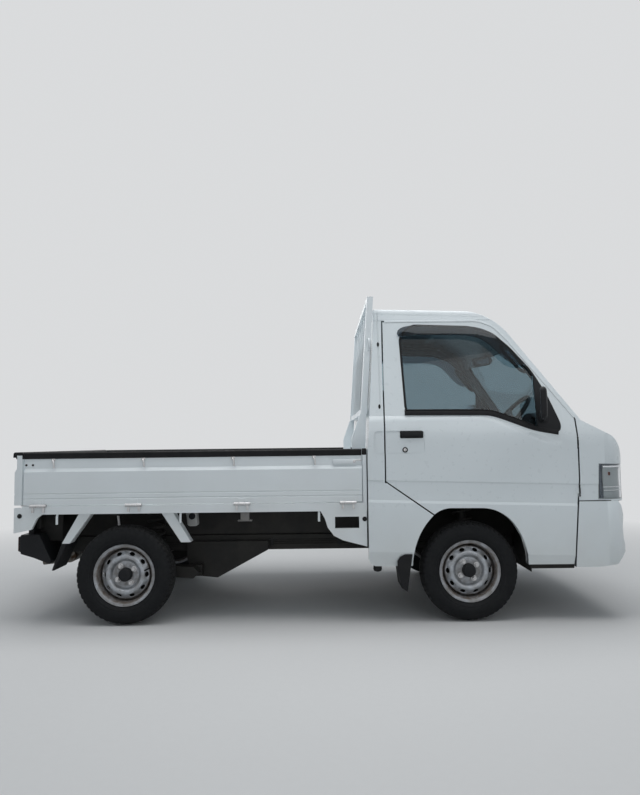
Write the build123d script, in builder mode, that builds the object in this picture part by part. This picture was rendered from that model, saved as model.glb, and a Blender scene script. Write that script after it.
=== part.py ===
# Small cab-over pickup truck with a drop-side bed, in millimetres.
from build123d import *
import os

os.makedirs("parts", exist_ok=True)

# Frame: +X forward, +Y to the truck's left, +Z up, origin on the ground under the middle.
overall_length = 3395.0
front_end_x = overall_length / 2
rear_end_x = -overall_length / 2
front_axle_x = 803.0
wheelbase = 1885.0
rear_axle_x = front_axle_x - wheelbase

# Running gaps
shut_gap = 8.0
pin_clearance = 0.05
seat_gap = 0.3

# Wheels and tyres
tyre_radius = 268.0
tyre_half_width = 72.0
track_half = 642.0
bead_radius = 152.4
flange_radius = 167.0
rim_half_width = 51.0
flange_thickness = 5.0
rim_skin = 5.0
spindle_radius = 17.0
hub_radius = 32.0
hub_depth = 46.0
drum_depth = 30.0
hand_hole_count = 10
hand_hole_circle = 109.0

# Cab outline
cab_half_width = 737.5
cab_rear_x = 252.0
cab_bottom_z = 305.0
belt_low_z = 1040.0
waist_z = 1112.0
body_slope = 0.029
swage_depth = 4.0
swage_low_z = 650.0
swage_top_z = 772.0
cab_roof_z = 1757.0
rear_knee_z = 900.0
rear_lean = 0.0692
rear_wall = 40.0
bow_radius = 7000.0
bow_half_angle = 12.0
nose_front_x = front_end_x - 7.5
bow_axis_x = nose_front_x - bow_radius
nose_corner_radius = 150.0
side_wall = 50.0
front_wall = 42.0
roof_wall = 32.0
roof_seam_z = 1668.0
door_top_z = roof_seam_z - shut_gap
cowl_z = 1080.0
bumper_top_z = 642.0

# Door
hinge_x = front_end_x - 293.5
hinge_inset = 5.5
hinge_y = cab_half_width - hinge_inset
door_rear_x = cab_rear_x + 100.0
door_reach = hinge_x - door_rear_x
door_hinge_heights = (700.0, 960.0)
door_pin_radius = 3.0
door_knuckle_radius = 5.0
glass_thickness = 4.0

# Floor of the cab and wheel wells
footwell_z = 470.0
seat_base_z = 665.0
sheet = 25.0
well_front_x = front_axle_x + 332.0
well_rear_x = front_axle_x - 333.0
well_inner_y = 400.0

# Chassis rails
rail_y = 330.0
rail_width = 60.0
rail_bottom_z = 345.0
rail_height = 90.0
rail_top_z = rail_bottom_z + rail_height

# Bed
bed_half_width = 715.0
deck_top_z = 648.0
deck_thickness = 20.0
panel_rise = 2.0
panel_margin = 8.0
sill_bottom_z = 603.0
sill_width = 45.0
bed_front_x = 246.0
headboard_thickness = 20.0
guard_post_rear_x = bed_front_x - 73
gate_thickness = 32.0
gate_bottom_z = deck_top_z + 6.0
gate_top_z = 925.0
cap_top_z = 941.0
cap_bottom_z = 905.0
cap_side = 4.0
tail_thickness = 40.0
gate_hinge_offset = 9.0
gate_hinge_z = gate_bottom_z - 4.0
gate_pin_radius = 4.0
gate_knuckle_radius = 8.0
side_hinge_places = (rear_end_x + 150.5, -1027.0, -436.0, bed_front_x - 103)
tail_hinge_places = (-560.0, 0.0, 560.0)

# Steering
kingpin_top = (front_axle_x, 505.0, seat_base_z)
kingpin_low = (front_axle_x, 555.0, 190.0)


def finish(piece, name):
    piece.label = name
    export_step(piece, f"parts/{name}.step")


def finish_pair(piece, name):
    finish(piece, f"{name}_right")
    finish(mirror(piece, about=Plane.XZ), f"{name}_left")


def slab(points, y_low, y_high):
    """Outline in X and Z, extruded from y_low to y_high."""
    with BuildPart() as piece:
        with BuildSketch(Plane.XZ.offset(-y_low)):
            with BuildLine():
                Polyline(*points, close=True)
            make_face()
        extrude(amount=-(y_high - y_low))
    return piece.part


def block(x_low, x_high, y_low, y_high, z_low, z_high):
    with BuildPart() as piece:
        with BuildSketch(Plane.XY.offset(z_low)):
            with Locations(((x_low + x_high) / 2, (y_low + y_high) / 2)):
                Rectangle(x_high - x_low, y_high - y_low)
        extrude(amount=z_high - z_low)
    return piece.part


bow_plane = Plane(
    origin=(bow_axis_x, 0, 0),
    x_dir=Vector(1, 0, 0).rotate(Axis.Z, -bow_half_angle),
    z_dir=Vector(0, -1, 0).rotate(Axis.Z, -bow_half_angle),
)


def side_points(side_in, roof_in):
    """Right half of the cab's cross section at its rear, from the foot to the roof's edge."""
    half = cab_half_width - side_in
    return [
        (half - 45, cab_bottom_z - 65),
        (half - 18, cab_bottom_z),
        (half, cab_bottom_z + 80),
        (half, belt_low_z),
        (half - 15, waist_z),
        (half - 127, 1685 - roof_in),
        (half - 142, 1745 - roof_in),
    ]


def cab_volume(side_in, front_in, roof_in):
    """Closed outer form of the cab, or the space inside it when the insets are walls."""
    front = bow_radius
    back = cab_rear_x - 352 - bow_axis_x
    roof = cab_roof_z + 8 - roof_in
    foot = cab_bottom_z - 3 * side_in
    with BuildPart() as profile:
        with BuildSketch(bow_plane):
            with BuildLine():
                under = Line((back, foot), (front - front_in, foot))
                nose = Line(under @ 1, (front - front_in, 845 - front_in * 0.6))
                brow = ThreePointArc(
                    nose @ 1,
                    (front - 11 - front_in, 938 - front_in),
                    (front - 55 - front_in, 995 - front_in),
                )
                hood = Line(brow @ 1, (front - 221 - front_in, 1084 - front_in))
                screen = Line(hood @ 1, (front - 575 - front_in, 1569 - front_in * 0.2))
                header = ThreePointArc(
                    screen @ 1,
                    (front - 670 - front_in, 1665 - roof_in),
                    (front - 930 - front_in, 1735 - roof_in),
                )
                top = Line(header @ 1, (back, roof))
                Line(top @ 1, under @ 0)
            make_face()
        revolve(axis=Axis((bow_axis_x, 0, 0), (0, 0, 1)), revolution_arc=2 * bow_half_angle)
    half = cab_half_width - side_in
    side = side_points(side_in, roof_in)
    with BuildPart() as section:
        with BuildSketch(Plane.YZ.offset(cab_rear_x)):
            with BuildLine():
                Polyline(
                    (0, side[0][1]),
                    *side,
                    (half - 440, 1762 - roof_in),
                    (0, 1770 - roof_in),
                    close=True,
                )
            make_face()
            fillet(vertices().filter_by(lambda v: v.X > 500 and v.Y > 1500), 45)
            mirror(about=Plane.YZ)
        extrude(amount=1700, dir=(1, 0, -body_slope))
    with BuildPart() as plan:
        with BuildSketch(Plane.XY.offset(180)):
            with Locations((cab_rear_x + 600, 0)):
                Rectangle(2 * (nose_front_x - front_in + 2 - cab_rear_x - 600), 2 * half + 0.2)
            fillet(vertices().filter_by(lambda v: v.X > 0).sort_by(Axis.X)[-2:], nose_corner_radius - front_in)
        extrude(amount=1700)
    return (section.part & profile.part) & plan.part


def behind_cab(depth):
    """Everything behind the cab's rear face, which leans forward above its knee."""
    x = cab_rear_x + depth
    lean = rear_lean * (1900 - rear_knee_z)
    corner = [(x + 35, 100), (x + 35, cab_bottom_z), (x + 11, cab_bottom_z + 10), (x, cab_bottom_z + 35)]
    return slab([(0, 100), *corner, (x, rear_knee_z), (x + lean, 1900), (0, 1900)], -800, 800)


def swage_band():
    """Shallow band pressed into both side walls; it falls towards the front as the walls do."""
    low, top = swage_low_z, swage_top_z
    half = cab_half_width
    with BuildPart() as band:
        with BuildSketch(Plane.YZ.offset(cab_rear_x)):
            with BuildLine():
                Polyline(
                    (half + 5, low),
                    (half, low),
                    (half - swage_depth, low + 14),
                    (half - swage_depth, top - 8),
                    (half, top),
                    (half + 5, top),
                    close=True,
                )
            make_face()
            mirror(about=Plane.YZ)
        extrude(amount=1700, dir=(1, 0, -body_slope))
    return band.part


# Shallow panel round the door handle, across the door's rear edge
handle_panel = (290.0, 565.0, 911.0, 1036.0)
handle_panel_depth = 4.0


def handle_panels():
    x_low, x_high, z_low, z_high = handle_panel
    with BuildPart() as panel:
        with BuildSketch(Plane.XZ.offset(cab_half_width - handle_panel_depth)):
            with Locations(((x_low + x_high) / 2, (z_low + z_high) / 2)):
                RectangleRounded(x_high - x_low, z_high - z_low, 20)
        extrude(amount=handle_panel_depth + 5)
        mirror(about=Plane.XZ)
    return panel.part


cab_outer = cab_volume(0, 0, 0) - behind_cab(0) - swage_band() - handle_panels()
cab_room = cab_volume(side_wall, front_wall, roof_wall) - behind_cab(rear_wall)
cab_lining = cab_volume(side_wall + 8, front_wall + seat_gap, 40) - behind_cab(rear_wall)
cab_shell = cab_outer - cab_room

# Side view outlines shared by the door, its neighbours and the wheel arch.
arch_low_rear = (front_axle_x - 314, cab_bottom_z - 20)
arch_rear = (front_axle_x - 284, 451)
arch_top_rear = (front_axle_x - 192, 581)
arch_knee_rear = (front_axle_x - 153, 604)
arch_crown_rear = (front_axle_x - 103, 614)
arch_crown_front = (front_axle_x + 77, 612)
arch_knee_front = (front_axle_x + 184, 577)
arch_front = (front_axle_x + 243, 521)
arch_shin_front = (front_axle_x + 294, 420)
arch_low_front = (front_axle_x + 313, cab_bottom_z - 20)


def arch_volume(grow, y_low, y_high):
    """Wheel arch opening in the side panels."""
    with BuildPart() as piece:
        with BuildSketch(Plane.XZ.offset(-y_low)):
            with BuildLine():
                rise = ThreePointArc(arch_low_rear, arch_rear, arch_top_rear)
                ThreePointArc(arch_top_rear, arch_knee_rear, arch_crown_rear)
                Line(arch_crown_rear, arch_crown_front)
                ThreePointArc(arch_crown_front, arch_knee_front, arch_front)
                fall = ThreePointArc(arch_front, arch_shin_front, arch_low_front)
                Line(fall @ 1, rise @ 0)
            make_face()
            if grow:
                offset(amount=grow)
        extrude(amount=-(y_high - y_low))
    return piece.part


def door_outline(grow):
    """Door's edge in side view, behind the hinge line. Its rear edge is cut by a turned face."""
    g = grow
    x = hinge_x
    return [
        (door_rear_x - 52, 752 - g),
        (door_rear_x, 762 - g),
        (arch_top_rear[0], 581 - g * 1.2),
        (arch_top_rear[0] + 9, cab_bottom_z - 24),
        (x - 43 + g, cab_bottom_z - 24),
        (x - 13 + g, bumper_top_z + 5),
        (x - 3 + g, 760),
        (x - 3 + g, 940),
        (x - 10 + g, 1092),
        (x - 38 + g * 1.2, 1133),
        (x - 348 + g * 1.2, 1552),
        (x - 419 + g * 0.7, 1628 + g * 0.7),
        (x - 499 + g * 0.3, door_top_z + g),
        (door_rear_x - 52, door_top_z + g),
    ]


def door_reach_volume(radius):
    """Everything that stays within the door's swing radius of its hinge line."""
    with BuildPart() as piece:
        with BuildSketch(Plane.XY.offset(150)):
            with Locations((hinge_x, -hinge_y)):
                Circle(radius)
        extrude(amount=1800)
    return piece.part


def side_band(grow):
    """Everything outside the inner face of the right side wall, or of a face grown inwards from it."""
    inner = [(-y, z) for y, z in side_points(side_wall + grow, roof_wall)]
    with BuildPart() as piece:
        with BuildSketch(Plane.YZ.offset(cab_rear_x)):
            with BuildLine():
                Polyline(
                    (-cab_half_width - 5, inner[0][1]),
                    *inner,
                    (-cab_half_width - 5, inner[-1][1]),
                    close=True,
                )
            make_face()
        extrude(amount=1400, dir=(1, 0, -body_slope))
    return piece.part


side_low = -cab_half_width - 5
side_high = -cab_half_width + 250

door_space = slab(door_outline(shut_gap), side_low, side_high) & door_reach_volume(door_reach + shut_gap)
door_space = door_space & side_band(shut_gap)
door_form = slab(door_outline(0), side_low, side_high) & door_reach_volume(door_reach) & side_band(0)
arch_right = arch_volume(0, side_low, side_high)

window_points = [
    (door_rear_x + 117, 1140),
    (door_rear_x + 100, 1574),
    (door_rear_x + 167, 1640),
    (hinge_x - 545, 1627),
    (hinge_x - 424, 1587),
    (hinge_x - 334, 1502),
    (hinge_x - 225, 1366),
    (hinge_x - 154, 1232),
    (hinge_x - 89, 1060),
    (hinge_x - 101, 1022),
    (hinge_x - 234, 1046),
    (hinge_x - 468, 1136),
]
sail_rear_x = hinge_x - 214


def window_volume(grow):
    with BuildPart() as piece:
        with BuildSketch(Plane.XZ.offset(-side_low)):
            with BuildLine():
                Polyline(*window_points, close=True)
            make_face()
            fillet(vertices().filter_by(lambda v: v.Y > 1500 or v.Y < 1070), 22)
            if grow:
                offset(amount=grow)
        extrude(amount=-(side_high - side_low))
    return piece.part


# Door shell, its glass and its black sail panel with the mirror
window_right = window_volume(0)
door_hinges = [(hinge_x, -hinge_y, z) for z in door_hinge_heights]
knuckle_height = 30.0
lug_height = 10.0
hinge_notch = 14.0
with BuildPart() as door:
    add(door_form & cab_shell)
    add(arch_right, mode=Mode.SUBTRACT)
    add(window_right, mode=Mode.SUBTRACT)
    with Locations(door_hinges):
        Box(hinge_notch, 2 * hinge_notch, 2 * hinge_notch + 36, mode=Mode.SUBTRACT)
        Cylinder(door_knuckle_radius, knuckle_height)
    for x, y, z in door_hinges:
        half = knuckle_height / 2
        add(block(x - 20, x, y - 3, y + 3, z - half, z + half))
    with Locations(door_hinges):
        Cylinder(door_pin_radius + pin_clearance, 2 * knuckle_height, mode=Mode.SUBTRACT)
finish_pair(door.part, "door")

pane_outer = cab_volume(10, 10, 10)
pane_inner = cab_volume(10 + glass_thickness, 20, 20)
sail_cut = block(sail_rear_x, hinge_x, side_low, side_high, 900, 1400)
with BuildPart() as door_glass:
    add((pane_outer - pane_inner) & window_volume(-seat_gap))
    add(sail_cut, mode=Mode.SUBTRACT)
finish_pair(door_glass.part, "door_glass")

sail_outer = cab_volume(4, 4, 4)
sail_inner = cab_volume(24, 24, 24)
sail_cut_near = block(sail_rear_x + seat_gap, hinge_x, side_low, side_high, 900, 1400)
mirror_x = sail_rear_x + 2
mirror_height = 178.0
with BuildPart() as mirror_head:
    with BuildSketch(Plane.YZ.offset(mirror_x - 14)):
        with Locations((-820, 1174)):
            RectangleRounded(122, mirror_height, 26)
    extrude(amount=30)
    fillet(edges().group_by(Axis.X)[-1], 9)
with BuildPart() as mirror_arm:
    add((sail_outer - sail_inner) & window_volume(-seat_gap) & sail_cut_near)
    add(block(mirror_x + 8, mirror_x + 32, -790, -705, 1100, 1122))
    add(mirror_head.part)
finish_pair(mirror_arm.part, "mirror")

# Fixed parts of the cab's shell
door_space_left = mirror(door_space, about=Plane.XZ)
arch_left = mirror(arch_right, about=Plane.XZ)
swing_cuts = door_space + arch_right + door_space_left + arch_left

rear_window_width = 1040.0
rear_window_height = 390.0
rear_window_z = 1370.0
rear_window_plane = Plane(
    origin=(cab_rear_x + rear_lean * (rear_window_z - rear_knee_z), 0, rear_window_z),
    x_dir=(0, 1, 0),
    z_dir=(-1, 0, rear_lean),
)
rear_zone = block(0, arch_crown_rear[0], -800, 800, 100, roof_seam_z)
with BuildPart() as rear_panel:
    add(cab_shell & rear_zone)
    add(swing_cuts, mode=Mode.SUBTRACT)
    with BuildSketch(rear_window_plane.offset(50)):
        RectangleRounded(rear_window_width, rear_window_height, 50)
    extrude(amount=-150, mode=Mode.SUBTRACT)
    add(block(0, arch_crown_rear[0], -cab_half_width + 60, cab_half_width - 60, 100, 500), mode=Mode.SUBTRACT)
finish(rear_panel.part, "cab_rear_panel")

roof_zone = block(0, hinge_x, -800, 800, roof_seam_z + seat_gap, 1900)
with BuildPart() as roof:
    add(cab_shell & roof_zone)
finish(roof.part, "roof_panel")

pillar_rear_x = hinge_x - 504
pillar_zone = block(pillar_rear_x, front_end_x, -800, 800, cowl_z, roof_seam_z)
screen_plane = Plane(origin=(nose_front_x - 390, 0, 1320), x_dir=(0, 1, 0), z_dir=(0.808, 0, 0.589))
screen_width_low = 1270.0
screen_width_top = 1110.0


def screen_volume(grow):
    with BuildPart() as piece:
        with BuildSketch(screen_plane):
            with BuildLine():
                Polyline(
                    (-screen_width_low / 2, -285),
                    (screen_width_low / 2, -285),
                    (screen_width_top / 2, 275),
                    (-screen_width_top / 2, 275),
                    close=True,
                )
            make_face()
            fillet(vertices(), 50)
            if grow:
                offset(amount=grow)
        extrude(amount=150, both=True)
    return piece.part & block(pillar_rear_x, front_end_x, -800, 800, cowl_z + 10 - grow, 1900)


with BuildPart() as pillars:
    add(cab_shell & pillar_zone)
    add(swing_cuts, mode=Mode.SUBTRACT)
    add(screen_volume(0), mode=Mode.SUBTRACT)
finish(pillars.part, "windscreen_frame")

with BuildPart() as windscreen:
    add((cab_volume(4, 4, 4) - cab_volume(10, 10, 10)) & screen_volume(-seat_gap))
finish(windscreen.part, "windscreen")

with BuildPart() as rear_window:
    with BuildSketch(rear_window_plane.offset(-15)):
        RectangleRounded(rear_window_width - 2 * seat_gap, rear_window_height - 2 * seat_gap, 50)
    extrude(amount=-glass_thickness)
finish(rear_window.part, "rear_window")

# Nose panel with headlamps and a shallow grille recess between them
nose_zone = block(hinge_x - 104, front_end_x + 100, -800, 800, bumper_top_z, cowl_z)
lamp_rear_x = nose_front_x - 178
lamp_far_x = front_end_x + 50
lamp_inner_y = 440.0


def lamp_opening(inset):
    i = inset
    outline = [
        (lamp_rear_x + i, 846 - i),
        (lamp_rear_x - 8 + i, 652 + i),
        (lamp_far_x, 652 + i),
        (lamp_far_x, 838 - i),
    ]
    return slab(outline, -800, -lamp_inner_y - i)


lamp_zone = lamp_opening(0) + mirror(lamp_opening(0), about=Plane.XZ)
grille_depth = 14.0
grille_slot = block(hinge_x, front_end_x, -330, 330, 700, 782) - cab_volume(grille_depth, grille_depth, grille_depth)
with BuildPart() as nose_panel:
    add(cab_shell & nose_zone)
    add(swing_cuts, mode=Mode.SUBTRACT)
    add(lamp_zone, mode=Mode.SUBTRACT)
    add(grille_slot, mode=Mode.SUBTRACT)
    with Locations(door_hinges):
        Cylinder(hinge_notch / 2 + 2, knuckle_height + 2 * lug_height + 10, mode=Mode.SUBTRACT)
    for x, y, z in door_hinges:
        for low in (z - knuckle_height / 2 - 1 - lug_height, z + knuckle_height / 2 + 1):
            add(block(x, x + 20, y - 3, y + 3, low, low + lug_height))
            add(Pos(x, y, low + lug_height / 2) * Cylinder(door_knuckle_radius, lug_height, mode=Mode.PRIVATE))
    with Locations(door_hinges):
        Cylinder(door_pin_radius, knuckle_height + 2 * lug_height)
    split(bisect_by=Plane.XZ, keep=Keep.TOP)
    mirror(about=Plane.XZ)
finish(nose_panel.part, "nose_panel")

# Each headlamp is a thin lens over a hollow housing
lens_back = 6.0
lamp_depth = 40.0
housing_skin = 4.0
with BuildPart() as headlamps:
    add((cab_volume(2, 2, 2) - cab_volume(lens_back, lens_back, lens_back)) & lamp_opening(seat_gap))
    mirror(about=Plane.XZ)
finish(headlamps.part, "headlamps")

housing_front = cab_volume(lens_back + seat_gap, lens_back + seat_gap, lens_back + seat_gap)
bowl_back = cab_volume(lamp_depth - housing_skin, lamp_depth - housing_skin, lamp_depth - housing_skin)
with BuildPart() as lamp_housings:
    add((housing_front - cab_volume(lamp_depth, lamp_depth, lamp_depth)) & lamp_opening(seat_gap))
    add((housing_front - bowl_back) & lamp_opening(housing_skin), mode=Mode.SUBTRACT)
    mirror(about=Plane.XZ)
finish(lamp_housings.part, "headlamp_housings")

# Front bumper
# Profile: distance behind the front end, height
bumper_rear = 397.5
bumper_profile = [
    (bumper_rear, bumper_top_z),
    (42, bumper_top_z),
    (21, 614),
    (8, 564),
    (16, 497),
    (11, 431),
    (0, 398),
    (0, 365),
    (57, 303),
    (160, 291),
    (bumper_rear, 291),
]
bumper_mid_x = front_end_x - 697.5
with BuildPart() as bumper_form:
    with BuildSketch(bow_plane):
        with BuildLine():
            Polyline(*[(front_end_x - bow_axis_x - back, z) for back, z in bumper_profile], close=True)
        make_face()
    revolve(axis=Axis((bow_axis_x, 0, 0), (0, 0, 1)), revolution_arc=2 * bow_half_angle)
with BuildPart() as bumper_plan:
    with BuildSketch(Plane.XY.offset(250)):
        with Locations((bumper_mid_x, 0)):
            Rectangle(2 * (front_end_x + 2 - bumper_mid_x), 2 * cab_half_width)
        fillet(vertices().filter_by(lambda v: v.X > bumper_mid_x), nose_corner_radius)
    extrude(amount=500)
with BuildPart() as bumper_core:
    with BuildSketch(Plane.XY.offset(230)):
        with Locations((bumper_mid_x, 0)):
            Rectangle(2 * (front_end_x - 60 - bumper_mid_x), 2 * (cab_half_width - 50))
        fillet(vertices().filter_by(lambda v: v.X > bumper_mid_x), 100)
    extrude(amount=500)
with BuildPart() as bumper:
    add(bumper_form.part & bumper_plan.part)
    add(bumper_core.part, mode=Mode.SUBTRACT)
    add(swing_cuts, mode=Mode.SUBTRACT)
    add(block(front_end_x - 250, front_end_x + 10, -290, 290, 420, 484), mode=Mode.SUBTRACT)
finish(bumper.part, "front_bumper")

axis_low = Vector(*kingpin_low)
axis_top = Vector(*kingpin_top)
kingpin_axis = (axis_top - axis_low).normalized()
strut_radius = 22.0
ball_radius = 9.0
strut_cup = 40.0


def strut_plane(z):
    """Plane square to the right kingpin axis where it passes height z."""
    share = (z - kingpin_low[2]) / (kingpin_top[2] - kingpin_low[2])
    point = axis_low + (axis_top - axis_low) * share
    return Plane(origin=(point.X, -point.Y, point.Z), z_dir=(kingpin_axis.X, -kingpin_axis.Y, kingpin_axis.Z))


# Cab floor: footwell, riser, seat base and wheel wells
toe_x = nose_front_x - 170
floor_profile = [
    (toe_x + 80, footwell_z + 230),
    (toe_x, footwell_z),
    (well_front_x, footwell_z),
    (well_front_x, seat_base_z),
    (cab_rear_x + 40, seat_base_z),
    (cab_rear_x + 40, seat_base_z + sheet),
    (well_front_x + sheet, seat_base_z + sheet),
    (well_front_x + sheet, footwell_z + sheet),
    (toe_x - 15, footwell_z + sheet),
    (toe_x + 60, footwell_z + 245),
]
inner_half = cab_half_width - side_wall - 10
with BuildPart() as cab_floor:
    add(slab(floor_profile, -inner_half, inner_half) & cab_lining)
    for side in (-1, 1):
        y_a = side * well_inner_y
        y_b = side * (well_inner_y - sheet)
        add(
            block(
                well_rear_x - sheet,
                well_front_x + sheet,
                min(y_a, y_b),
                max(y_a, y_b),
                rail_top_z,
                seat_base_z,
            )
        )
    for side in (-1, 1):
        y_a = side * well_inner_y
        y_b = side * (inner_half - 5)
        add(block(well_rear_x - sheet, well_rear_x, min(y_a, y_b), max(y_a, y_b), 330, seat_base_z))
        add(block(well_front_x, well_front_x + sheet, min(y_a, y_b), max(y_a, y_b), 330, footwell_z))
    with BuildSketch(strut_plane(seat_base_z - strut_cup)):
        Circle(34)
    extrude(amount=strut_cup + 4)
    with BuildSketch(strut_plane(seat_base_z - strut_cup)):
        Circle(ball_radius + pin_clearance)
    extrude(amount=strut_cup + 2, mode=Mode.SUBTRACT)
    split(bisect_by=Plane.XZ, keep=Keep.TOP)
    mirror(about=Plane.XZ)
finish(cab_floor.part, "cab_floor")

# Dashboard and steering
column_radius = 28.0
dash_x = nose_front_x - 160
column_low = Vector(dash_x - 200, -345, 930)
wheel_centre = Vector(dash_x - 395, -345, 1100)
wheel_rim_radius = 180.0
column_axis = (wheel_centre - column_low).normalized()
column_plane = Plane(origin=wheel_centre, z_dir=column_axis)
with BuildPart() as dashboard:
    add(
        slab(
            [
                (dash_x, 860),
                (dash_x - 30, 1000),
                (dash_x - 90, 1040),
                (dash_x - 200, 1062),
                (dash_x - 280, 1040),
                (dash_x - 305, 960),
                (dash_x - 240, 840),
            ],
            -inner_half + 4,
            inner_half - 4,
        )
        & cab_lining
    )
    with BuildSketch(column_plane):
        Circle(column_radius)
    extrude(amount=-400, mode=Mode.SUBTRACT)
finish(dashboard.part, "dashboard")

with BuildPart() as column:
    with BuildSketch(column_plane.offset(-40)):
        Circle(column_radius)
        Circle(10 + pin_clearance, mode=Mode.SUBTRACT)
    extrude(amount=-230)
finish(column.part, "steering_column")

with BuildPart() as steering_wheel:
    with BuildSketch(Plane(origin=wheel_centre, x_dir=column_plane.y_dir, z_dir=column_plane.x_dir)):
        with Locations((wheel_rim_radius, 0)):
            RegularPolygon(13, 8)
    revolve(axis=Axis(wheel_centre, column_axis), revolution_arc=360)
    with BuildSketch(column_plane.offset(-14)):
        Circle(55)
        with PolarLocations(110, 3, start_angle=30):
            Rectangle(135, 26)
    extrude(amount=12)
    with BuildSketch(column_plane.offset(-14)):
        Circle(10)
    extrude(amount=-150)
finish(steering_wheel.part, "steering_wheel")

# Seats
seat_half = 245.0
seat_centre_y = 355.0
cushion_top_z = 810.0
with BuildPart() as cushions:
    for side in (-1, 1):
        y_mid = side * seat_centre_y
        add(block(560, 1040, y_mid - seat_half, y_mid + seat_half, seat_base_z + sheet + seat_gap, cushion_top_z))
    fillet(edges().filter_by(Axis.Y).group_by(Axis.Z)[-1], 35)
finish(cushions.part, "seat_cushions")

with BuildPart() as backs:
    for side in (-1, 1):
        y_mid = side * seat_centre_y
        add(
            slab(
                [
                    (640, cushion_top_z + seat_gap),
                    (520, cushion_top_z + seat_gap),
                    (330, 1330),
                    (430, 1345),
                ],
                y_mid - seat_half,
                y_mid + seat_half,
            )
        )
finish(backs.part, "seat_backs")

# Chassis frame with cross members under the bed
rail_end = 137.5
cross_half_y = rail_y - rail_width / 2 - seat_gap
cross_places = (rear_axle_x - 418, -900.0, -560.0, 0.0, 300.0, 1180.0, front_end_x - rail_end - 20)
with BuildPart() as chassis:
    for side in (-1, 1):
        y_low = side * rail_y - rail_width / 2
        y_high = side * rail_y + rail_width / 2
        add(block(rear_end_x + rail_end, front_end_x - rail_end, y_low, y_high, rail_bottom_z, rail_top_z))
        add(
            block(
                rear_end_x + rail_end,
                cab_rear_x - 32,
                y_low + 10,
                y_high - 10,
                rail_top_z + seat_gap,
                sill_bottom_z - seat_gap,
            )
        )
    for x in cross_places:
        add(block(x - 30, x + 30, -cross_half_y, cross_half_y, rail_bottom_z + 10, rail_top_z - 10))
finish(chassis.part, "chassis_frame")

# Bed: deck on ribs, side sills, front and rear corner brackets
tail_inner_x = rear_end_x + gate_hinge_offset + gate_knuckle_radius + tail_thickness + cap_side
sill_rear_x = tail_inner_x
with BuildPart() as bed:
    add(
        block(
            sill_rear_x,
            bed_front_x,
            -bed_half_width,
            bed_half_width,
            deck_top_z - deck_thickness,
            deck_top_z,
        )
    )
    for side in (-1, 1):
        y_a = side * bed_half_width
        y_b = side * (bed_half_width - sill_width)
        add(block(sill_rear_x, bed_front_x, min(y_a, y_b), max(y_a, y_b), sill_bottom_z, deck_top_z))
        add(
            slab(
                [
                    (bed_front_x - 254, sill_bottom_z),
                    (bed_front_x - 232, 564),
                    (bed_front_x - 216, 514),
                    (bed_front_x - 183, 470),
                    (bed_front_x - 134, 445),
                    (bed_front_x - 2, 410),
                    (bed_front_x - 2, 620),
                ],
                min(y_a, side * (bed_half_width - 25)),
                max(y_a, side * (bed_half_width - 25)),
            )
        )
        add(
            slab(
                [
                    (sill_rear_x - 44, 503),
                    (sill_rear_x + 52, 522),
                    (sill_rear_x + 81, 582),
                    (sill_rear_x + 116, 610),
                    (sill_rear_x + 116, 640),
                    (sill_rear_x - 44, 640),
                ],
                min(y_a, side * (bed_half_width - 25)),
                max(y_a, side * (bed_half_width - 25)),
            )
        )
        add(
            block(bed_front_x - 176, bed_front_x - 44, min(y_a, y_b), max(y_a, y_b), 509, 572),
            mode=Mode.SUBTRACT,
        )
    add(block(sill_rear_x, sill_rear_x + 60, -bed_half_width, bed_half_width, sill_bottom_z, deck_top_z))
    panel_half = bed_half_width - gate_thickness - panel_margin
    add(
        block(
            sill_rear_x + panel_margin,
            guard_post_rear_x - panel_margin,
            -panel_half,
            panel_half,
            deck_top_z - panel_rise,
            deck_top_z + panel_rise,
        )
    )
    for x in (-1180, -800, -420, -60, bed_front_x - 46):
        add(block(x - 25, x + 25, -bed_half_width + 10, bed_half_width - 10, sill_bottom_z, deck_top_z - 5))
finish(bed.part, "bed_floor")

# Guard frame over the headboard
guard_post_y = 620.0
guard_top_z = 1805.0
guard_low_z = 1136.0


def guard_x(z):
    """Front face of the leaning guard frame, just behind the cab."""
    return cab_rear_x - 4 + rear_lean * (z - rear_knee_z) - 5


def leaning(x_back, x_front, z_low, z_high, y_low, y_high):
    """Bar that leans with the guard frame; x values are measured from its front face."""
    corners = [
        (guard_x(z_low) + x_back, z_low),
        (guard_x(z_low) + x_front, z_low),
        (guard_x(z_high) + x_front, z_high),
        (guard_x(z_high) + x_back, z_high),
    ]
    return slab(corners, y_low, y_high)


headboard_front_x = bed_front_x - headboard_thickness
with BuildPart() as guard:
    add(block(headboard_front_x, bed_front_x, -bed_half_width, bed_half_width, deck_top_z, 930))
    for side in (-1, 1):
        y_mid = side * guard_post_y
        add(block(guard_post_rear_x, headboard_front_x, y_mid - 20, y_mid + 20, deck_top_z, 1000))
        add(
            slab(
                [
                    (guard_post_rear_x, 1000),
                    (bed_front_x, 925),
                    (bed_front_x + 9, guard_low_z),
                    (bed_front_x - 25, guard_low_z),
                ],
                y_mid - 20,
                y_mid + 20,
            )
        )
        add(leaning(-34, 0, guard_low_z, guard_top_z - 20, y_mid - 20, y_mid + 20))
    add(leaning(-34, 0, guard_top_z - 30, guard_top_z, -guard_post_y - 20, guard_post_y + 20))
    add(leaning(-30, -4, guard_low_z, guard_low_z + 30, -guard_post_y, guard_post_y))
    for y_mid in (-400, -200, 0, 200, 400):
        add(leaning(-22, -10, guard_low_z + 20, guard_top_z - 20, y_mid - 8, y_mid + 8))
finish(guard.part, "guard_frame")

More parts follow.
